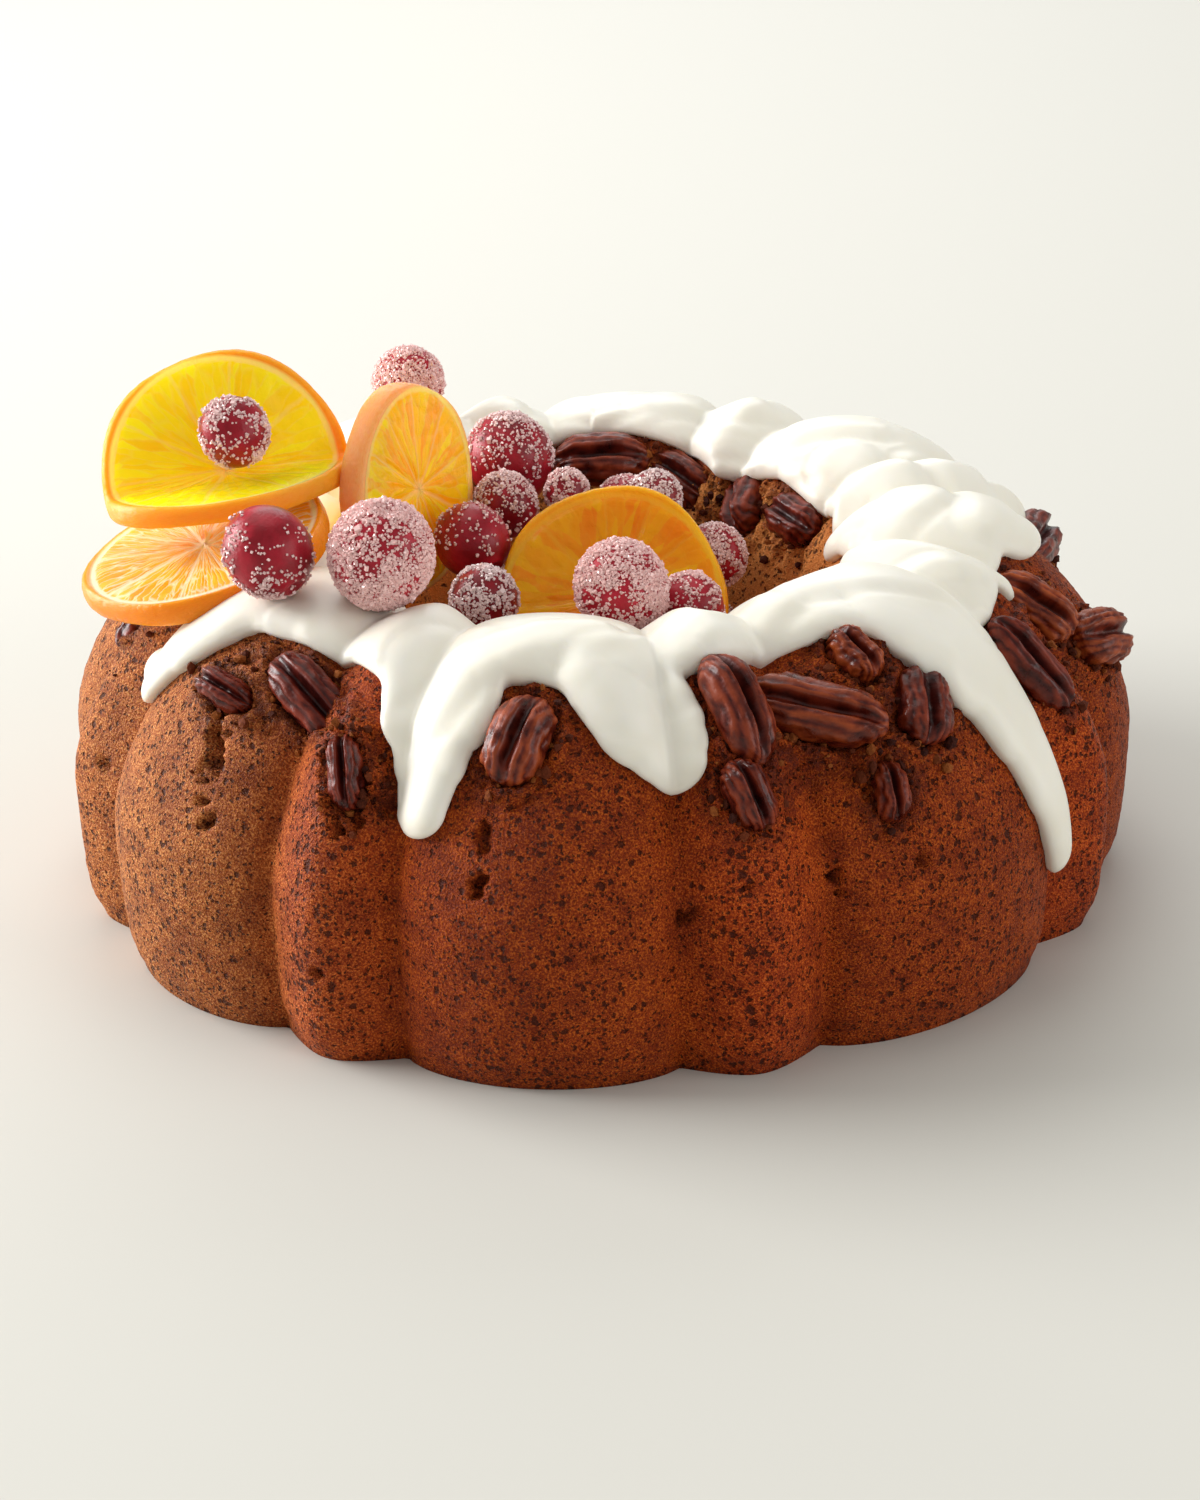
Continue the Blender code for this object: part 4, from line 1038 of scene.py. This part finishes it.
def sugar_grains(points, outward, draw):
    """Vertices and faces of a small, freely turned block at each point, half sunk in the skin."""
    count = len(points)
    turn = draw.normal(size=(count, 4))
    w, x, y, z = (turn / np.linalg.norm(turn, axis=1, keepdims=True)).T
    spin = np.array([
        [1 - 2 * (y * y + z * z), 2 * (x * y - z * w), 2 * (x * z + y * w)],
        [2 * (x * y + z * w), 1 - 2 * (x * x + z * z), 2 * (y * z - x * w)],
        [2 * (x * z - y * w), 2 * (y * z + x * w), 1 - 2 * (x * x + y * y)]]).transpose(2, 0, 1)
    size = GRAIN_SIZE * np.exp(draw.normal(0, GRAIN_SPREAD, (count, 1))) * draw.uniform(.75, 1.25, (count, 3))
    cube, cube_faces = template(bmesh.ops.create_cube, size=1)
    corners = np.einsum("nij,nkj->nki", spin, cube[None] * size[:, None, :])
    corners += (points + outward * size.mean(axis=1, keepdims=True) * GRAIN_OUT)[:, None, :]
    faces = cube_faces[None] + len(cube) * np.arange(count)[:, None, None]
    return corners.reshape(-1, 3), faces.reshape(-1, 4)


def sugared_berries(name, berries, seed, detail=BERRY_DETAIL, spacing=GRAIN_SPACING):
    """Mesh data with one or more berries and all their sugar grains."""
    draw = np.random.default_rng(seed)
    sphere, sphere_faces = template(bmesh.ops.create_icosphere, subdivisions=detail, radius=1)
    skins, grains = [], []
    for number, (*place, cover, upward, redness) in enumerate(berries, seed):
        sugared = sugar_cover(sphere, cover, upward, number)
        skins.append((berry_points(sphere, place, number), sphere_faces, sugared, redness))
        directions = sphere_directions(int(4 * math.pi * (place[3] / spacing) ** 2), draw)
        chance = sugar_cover(directions, cover, upward, number)
        directions = directions[draw.uniform(size=len(directions)) < GRAIN_SHARE * chance ** 1.2]
        corners, blocks = sugar_grains(berry_points(directions, place, number), directions, draw)
        grains.append((corners, blocks, np.ones(len(corners)), redness))
    points, faces, sugar, red = [], [], [], []
    for rows, corners_of_faces, sugared, redness in skins + grains:
        faces += (corners_of_faces + sum(len(before) for before in points)).tolist()
        points.append(rows)
        sugar.append(sugared)
        red.append(np.full(len(rows), redness))
    data = bpy.data.meshes.new(name)
    data.from_pydata(np.concatenate(points).tolist(), [], faces)
    write_values(data, sugar=np.concatenate(sugar), red=np.concatenate(red))
    on_skin = np.arange(len(data.polygons)) < len(sphere_faces) * len(berries)
    data.shade_smooth()
    data.polygons.foreach_set("use_smooth", on_skin)
    data.polygons.foreach_set("material_index", (~on_skin).astype(np.int32))
    data.update()
    return data


# %% [markdown]
# The skin is waxy and dark; where sugar dust clings to it, it turns pink and dull.  The grains are clear
# crystals: they sparkle, and take their colour from the skin under them.

# %% The berries' finishes
def berry_skin_finish():
    made, add, shader = new_material(
        "cranberry skin", Specular_IOR_Level=.3, Subsurface_Weight=.15, Subsurface_Scale=2 * MM,
        Subsurface_Radius=(1.0, .25, .25))
    place = add("TexCoord", out="Object")
    sugar, red = (add("Attribute", name, out="Fac") for name in ("sugar", "red"))
    blotch = add("TexNoise", Vector=place, Scale=1 / (5 * MM), Detail=3)
    dust = add("TexNoise", Vector=place, Scale=1 / (.7 * MM), Detail=3, Roughness=.7)
    dark = add("ValToRGB", [(.35, "#5C0812"), (.65, "#8A101C")], blotch)
    bright = add("ValToRGB", [(.35, "#9A1022"), (.65, "#C42238")], blotch)
    skin = add("MixRGB", None, red, dark, bright)
    cling = add("Math", "MULTIPLY", sugar, add("ValToRGB", [(.42, .02), (.72, .50)], dust))
    fill(shader, Base_Color=add("MixRGB", None, cling, skin, "#B84858"),
         Roughness=add("MapRange", None, cling, 0, .5, .28, .6),
         Normal=add("Bump", Height=dust, Strength=.35, Distance=.3 * MM))
    return made


def sugar_finish():
    made, add, shader = new_material(
        "granulated sugar", Roughness=.16, IOR=1.54, Transmission_Weight=.15, Specular_IOR_Level=.5)
    red = add("Attribute", "red", out="Fac")
    fill(shader, Base_Color=add("ValToRGB", [(0, "#F8E2E0"), (1, "#FFD2CE")], red))
    return made


berry_skin = berry_skin_finish()
sugar_grain = sugar_finish()
for number, berry in enumerate(BERRIES, 1):
    name = f"sugared_berry_{number:02d}"
    finished(name, sugared_berries(name, [berry], number), [berry_skin, sugar_grain], "cranberry",
             f"cranberry_{number:02d}", smooth=False)

# %% [markdown]
# ## The orange slices
# A thin slice of a small orange is a wheel: a thin glossy rind, a pale ring of pith, and ten or eleven
# segments of juice sacs between pale membranes.  Each slice starts as a grid that is wrapped from the middle
# of one face over the rounded rim to the middle of the other, and is then folded or curled.  A "wheel"
# attribute keeps each point's place on the flat slice, so that the segments of the finish bend with it.

# %% Slices: places and shape
SLICES = {
    "orange_slice_back": dict(
        at=(-.0784, -.0070, .0929), radius=.0259, depth=.0044, turn=(66, -5, 12), fold=(0.0, 72, .005)),
    "orange_slice_left": dict(
        at=(-.0815, -.0213, .0792), radius=.0265, depth=.0054, turn=(6, -13, 0), curl=(.012, 4, 20)),
    "orange_slice_side": dict(
        at=(-.0401, .0050, .0837), radius=.0236, depth=.0058, turn=(84, -7, 63)),
    "orange_slice_hole": dict(
        at=(.0036, -.0129, .063), radius=.0252, depth=.0053, turn=(50, 3, -8), curl=(.010, 12, 70)),
}
SLICE_SIDES = 200
SLICE_RINGS = 110
SEGMENTS = 10
RIM_SHARE = .16
SEGMENT_SWAY = (.18, .12)
SAC = .0021
RIND_PORE = (.00012, .0016)  # depth and size


def slice_axes(shape):
    """The turn of an orange slice, as a matrix."""
    lean, roll, yaw = (math.radians(angle) for angle in shape["turn"])
    return Matrix.Rotation(yaw, 3, "Z") @ Matrix.Rotation(roll, 3, "Y") @ Matrix.Rotation(lean, 3, "X")


def folded(points, start, angle, radius):
    """Bends what lies below the line y = start towards +Z, round a small radius."""
    x, y, z = points.T
    below = np.maximum(start - y, 0)
    angle = math.radians(angle)
    turned = np.minimum(below / radius, angle)
    rest = np.maximum(below - angle * radius, 0)
    bent_y = start - (radius - z) * np.sin(turned) - rest * np.cos(turned)
    bent_z = radius - (radius - z) * np.cos(turned) + rest * np.sin(turned)
    bent = below > 0
    return np.stack([x, np.where(bent, bent_y, y), np.where(bent, bent_z, z)], axis=-1)


def curled(points, start, strength, direction):
    """Lifts the side of a slice that lies past start in a direction, as a parabola."""
    angle = math.radians(direction)
    past = points[:, 0] * math.cos(angle) + points[:, 1] * math.sin(angle) - start
    lifted = points.copy()
    lifted[:, 2] += strength * np.maximum(past, 0) ** 2
    return lifted


def segment_place(angle, number):
    """Where in its segment an angle lies, from -.5 to .5 between two membranes."""
    slow, quick = SEGMENT_SWAY
    turned = angle / math.tau * SEGMENTS + slow * np.sin(2 * angle + number)
    return (turned + quick * np.sin(3 * angle + 2 * number)) % 1 - .5


def orange_slice(name, shape, number):
    """Mesh data of one slice, with its place on the flat wheel kept as an attribute."""
    radius, depth = shape["radius"], shape["depth"]
    mesh = bmesh.new()
    bmesh.ops.create_grid(mesh, x_segments=SLICE_SIDES, y_segments=SLICE_RINGS, size=.5)
    flat = np.array([vert.co for vert in mesh.verts])
    angle = math.tau * (flat[:, 0] + .5)
    angle[np.isclose(angle, math.tau)] = 0
    path = 2 * flat[:, 1]
    face = 1 - RIM_SHARE
    reach = np.clip((1 - np.abs(path)) / face, 0, 1)
    corner = depth * .32
    side = np.clip(path / RIM_SHARE, -1, 1)
    bow = np.sign(side) * np.abs(side) ** .8
    rim_angle = bow * math.pi / 2
    on_rim = np.abs(path) < RIM_SHARE
    r = np.where(on_rim, radius - corner + corner * np.cos(rim_angle) ** .7, (radius - corner) * reach)
    z = np.where(on_rim, depth / 2 * np.sin(rim_angle), np.sign(path) * depth / 2)
    wobble = .0006 * np.sin(2 * angle + number) + .0004 * np.sin(5 * angle + 2 * number)
    r = r * (1 + wobble / radius)
    x, y = r * np.cos(angle), r * np.sin(angle)
    share = r / radius
    place = segment_place(angle, number)
    from_membrane = (.5 - np.abs(place)) * math.tau * r / SEGMENTS
    ringed = np.stack([np.cos(angle) * 3, np.sin(angle) * 3, share * 2.2 + 5 * np.sign(path)], axis=-1)
    sacs = noise_at(np.stack([x / SAC, y / SAC, number + path], axis=-1), 1.0)
    flesh = np.clip((.90 - share) / .05, 0, 1) * np.clip((share - .10) / .05, 0, 1)
    puffed = np.clip(from_membrane / .0014, 0, 1)
    lift = flesh * (.00022 * puffed + .00025 * sacs * puffed) + .0002 * np.clip((share - .93) / .03, 0, 1)
    lift -= .00022 * (1 - flesh) * np.clip((.97 - share) / .05, 0, 1)
    lift += .0005 * noise_at(ringed, 1.6) * np.clip((.99 - share) / .2, 0, 1)
    z = z + np.sign(path) * lift * np.clip(np.abs(path) / RIM_SHARE, 0, 1)
    pore_depth, pore_size = RIND_PORE
    rind = np.stack([angle * radius / pore_size, z / pore_size, share * 5], axis=-1)
    pores = np.where(on_rim, pore_depth * noise_at(rind, 1), 0)
    points = np.stack([x + pores * np.cos(angle), y + pores * np.sin(angle), z], axis=-1)
    wheel = np.stack([x / radius, y / radius, z / (depth / 2)], axis=-1)
    if "fold" in shape:
        points = folded(points, *shape["fold"])
    if "curl" in shape:
        points = curled(points, *shape["curl"])
    points = np.array(shape["at"]) + points @ np.array(slice_axes(shape)).T
    data = to_data(mesh, name)
    data.vertices.foreach_set("co", points.ravel())
    write_values(data, wheel=wheel)
    mesh = bmesh.new()
    mesh.from_mesh(data)
    bmesh.ops.remove_doubles(mesh, verts=mesh.verts, dist=1e-6)
    bmesh.ops.dissolve_degenerate(mesh, edges=mesh.edges, dist=1e-7)
    bmesh.ops.recalc_face_normals(mesh, faces=mesh.faces)
    mesh.to_mesh(data)
    mesh.free()
    return data


# %% [markdown]
# Orange flesh is wet and clear: light goes through a thin slice and makes it glow.  The finish works out the
# radius and the angle of each point from the "wheel" attribute, and draws rind, pith, membranes and juice
# sacs with them.  The sacs are about 2 mm wide and lie radially; the membranes are half a millimetre thick.
# The flesh colours are also painted light: each slice's colours are set to the light where it lies, and the
# back slice is painted brightest and yellowest for the light that shines through it from behind.

# %% The slices' finish
def orange_finish(name, number, deep, bright, pale, rind, fibres, clearness, streaks, membranes):
    made, add, shader = new_material(
        name, Roughness=.26, Specular_IOR_Level=.24, Subsurface_Weight=clearness, Subsurface_Scale=12 * MM,
        Subsurface_Radius=(1.0, .62, .12))
    wheel = add("Attribute", "wheel", out="Vector")
    x, y, z = add("SeparateXYZ", None, wheel).node.outputs
    share = add("Math", "MULTIPLY", x, x)
    share = add("Math", "ADD", share, add("Math", "MULTIPLY", y, y))
    share = add("Math", "SQRT", share)

    angle = add("Math", "ARCTAN2", y, x)
    turned = add("Math", "MULTIPLY", angle, SEGMENTS / math.tau)
    for times, shift, sway in ((2.0, float(number), SEGMENT_SWAY[0]), (3.0, 2.0 * number, SEGMENT_SWAY[1])):
        wave = add("Math", "SINE", add("Math", "MULTIPLY_ADD", angle, times, shift))
        turned = add("Math", "MULTIPLY_ADD", wave, sway, turned)
    ragged = add("TexNoise", Vector=wheel, Scale=7, Detail=3)
    ragged = add("Math", "SUBTRACT", ragged, .5)
    turned = add("Math", "MULTIPLY_ADD", ragged, .10, turned)
    middle = add("Math", "SUBTRACT", add("Math", "FRACT", turned), .5)
    middle = add("Math", "ABSOLUTE", middle)
    gap = add("Math", "MULTIPLY", add("Math", "SUBTRACT", .5, middle), share)
    gap = add("Math", "MULTIPLY", gap, math.tau / SEGMENTS)
    membrane = add("MapRange", None, gap, .004, .020, 1, 0)

    polar = add("CombineXYZ", None, add("Math", "MULTIPLY", turned, streaks),
                add("Math", "MULTIPLY", share, 3.0), z)
    shifts = add("TexNoise", Vector=wheel, Scale=4, Detail=2, out="Color")
    bent = add("MixRGB", "LINEAR_LIGHT", .10, polar, shifts)
    sacs, edges = (add("TexVoronoi", feature, Vector=bent, Scale=1, Randomness=.9)
                   for feature in ("F1", "DISTANCE_TO_EDGE"))
    strand = add("MapRange", None, edges, 0, .11, fibres, 0)
    tone = add("SeparateColor", None, sacs.node.outputs["Color"])
    flesh = add("MixRGB", None, tone, deep, bright)
    flesh = add("MixRGB", None, strand, flesh, pale)
    flesh = add("MixRGB", None, add("Math", "MULTIPLY", membrane, membranes), flesh, pale)
    uneven = add("Math", "MULTIPLY_ADD", ragged, .05, share)
    in_pith = add("MapRange", None, uneven, .885, .905, 0, 1)
    in_core = add("MapRange", None, uneven, .05, .11, 1, 0)
    inner = add("MixRGB", None, add("Math", "MAXIMUM", in_pith, in_core), flesh, pale)
    in_rind = add("MapRange", None, share, .925, .950, 0, 1)
    speck = add("TexNoise", Vector=wheel, Scale=26, Detail=2)
    peel = add("MixRGB", None, speck, *rind)
    height = add("Math", "MULTIPLY_ADD", edges, .8, add("Math", "MULTIPLY", speck, .35))
    fill(shader, Base_Color=add("MixRGB", None, in_rind, inner, peel),
         Normal=add("Bump", Height=height, Strength=.5, Distance=.6 * MM))
    return made


# Painted light: the flesh colours are set slice by slice to the light on each, and the back slice's are
# brightest and yellowest for the light through it from behind.
SLICE_COLOURS_WITH_PAINTED_LIGHT = {  # deep flesh, bright flesh, pith, rind, share of fibres, clearness, streaks, membranes
    "orange_slice_back": ("#FFD800", "#FFEC12", "#FFDC80", ("#FA8C10", "#FFAA30"), .16, .85, 6.0, .45),
    "orange_slice_left": ("#F59A14", "#FFB838", "#FAE2BE", ("#F07C08", "#FF9A1C"), .80, .45, 11.0, .75),
    "orange_slice_side": ("#FFB400", "#FFDE10", "#FFD678", ("#F28A34", "#FFBE82"), .24, .80, 5.0, .70),
    "orange_slice_hole": ("#FF8C00", "#FFB400", "#FFB428", ("#F88E04", "#FFB020"), .18, .80, 5.0, .50),
}
for number, (name, shape) in enumerate(SLICES.items(), 1):
    juicy = orange_finish(name.replace("_", " "), number, *SLICE_COLOURS_WITH_PAINTED_LIGHT[name])
    fresh = name + "_fresh"
    finished(fresh, orange_slice(fresh, shape, number), juicy, "orange", name)

# %% [markdown]
# ## The heap in the hole
# Berries fill the hole under the slices.  They lie in staggered layers, with a bank of smaller ones along
# the front wall, and any berry that would cross the wall, a slice or one of the listed berries is left out.
# The core under them is dark, since no light reaches between the berries.

# %% The heap's berries
HEAP_BERRY = .0088
HEAP_PITCH = .0172
HEAP_LAYERS = ((.0430, -1, 1), (.0550, -1, .022), (.0665, .006, .020))  # height, least y, most x
HEAP_GRID = range(-4, 5)
HEAP_BANK = range(-117, 45, 18)  # azimuths
HEAP_BANK_RADIUS = .0380
HEAP_BANK_HEIGHT = .0600
HEAP_BANK_BERRY = .0072
HEAP_CORE = ((.0000, .0298), (.0380, .0362))  # height and radius, below and above
HEAP_JITTER = .0010
HEAP_SEED = 5
WALL_SLOPE = .93
GAP = .00035


def slice_clearance(point, shape):
    """Distance from a point to an orange slice, taken as flat."""
    local = slice_axes(shape).inverted() @ (point - Vector(shape["at"]))
    outside = max(math.hypot(local.x, local.y) - shape["radius"], 0)
    above = max(abs(local.z) - shape["depth"] / 2, 0)
    return math.hypot(outside, above)


def heap_candidates():
    """Staggered layers of berries, and a bank of smaller ones along the front of the hole's wall."""
    draw = random.Random(HEAP_SEED)
    for layer, (height, least_y, most_x) in enumerate(HEAP_LAYERS):
        shift = layer * HEAP_PITCH / math.sqrt(3)
        for row in HEAP_GRID:
            for column in HEAP_GRID:
                x = (column + row % 2 / 2) * HEAP_PITCH + draw.uniform(-1, 1) * HEAP_JITTER
                y = row * HEAP_PITCH * math.sqrt(3) / 2 + shift + draw.uniform(-1, 1) * HEAP_JITTER
                radius = HEAP_BERRY * draw.uniform(.94, 1.04)
                if y > least_y and x < most_x:
                    yield Vector((x, y, height)), radius
    for azimuth in HEAP_BANK:
        angle = math.radians(azimuth)
        x = HEAP_BANK_RADIUS * math.sin(angle)
        y = -HEAP_BANK_RADIUS * math.cos(angle)
        yield Vector((x, y, HEAP_BANK_HEIGHT)), HEAP_BANK_BERRY


def heap_places():
    """The heap's berries that are clear of the hole's wall and of what lies on them."""
    inner = ALONG > LENGTH * .7
    wall_height = OUTLINE[inner][::-1, 1]
    wall_radius = OUTLINE[inner][::-1, 0]
    places = []
    for point, radius in heap_candidates():
        wall = float(np.interp(point.z, wall_height, wall_radius))
        if (wall - math.hypot(point.x, point.y)) * WALL_SLOPE < radius + 2 * GAP:
            continue
        if any(slice_clearance(point, shape) < radius + 2 * GAP for shape in SLICES.values()):
            continue
        if any((point - Vector((x, y, z))).length < radius + other * BERRY_STRETCH + GAP
               for x, y, z, other, *_ in BERRIES):
            continue
        places.append((*point, radius))
    return places


heap_draw = random.Random(HEAP_SEED)
heap = [(*place, heap_draw.uniform(.35, .8), .6, heap_draw.uniform(.1, .6)) for place in heap_places()]
finished("heap_berries", sugared_berries("heap_berries", heap, 31, detail=4, spacing=.00080),
         [berry_skin, sugar_grain], "cranberry", "berry_heap", smooth=False)

(low, low_radius), (high, high_radius) = HEAP_CORE
mesh = bmesh.new()
bmesh.ops.create_cone(
    mesh, cap_ends=True, segments=48, radius1=low_radius, radius2=high_radius, depth=high - low,
    matrix=Matrix.Translation((0, 0, (low + high) / 2)))
bmesh.ops.subdivide_edges(mesh, edges=mesh.edges, cuts=2, use_grid_fill=True)
finished("heap_core", mesh, berry_skin, "cranberry", "berry_heap")
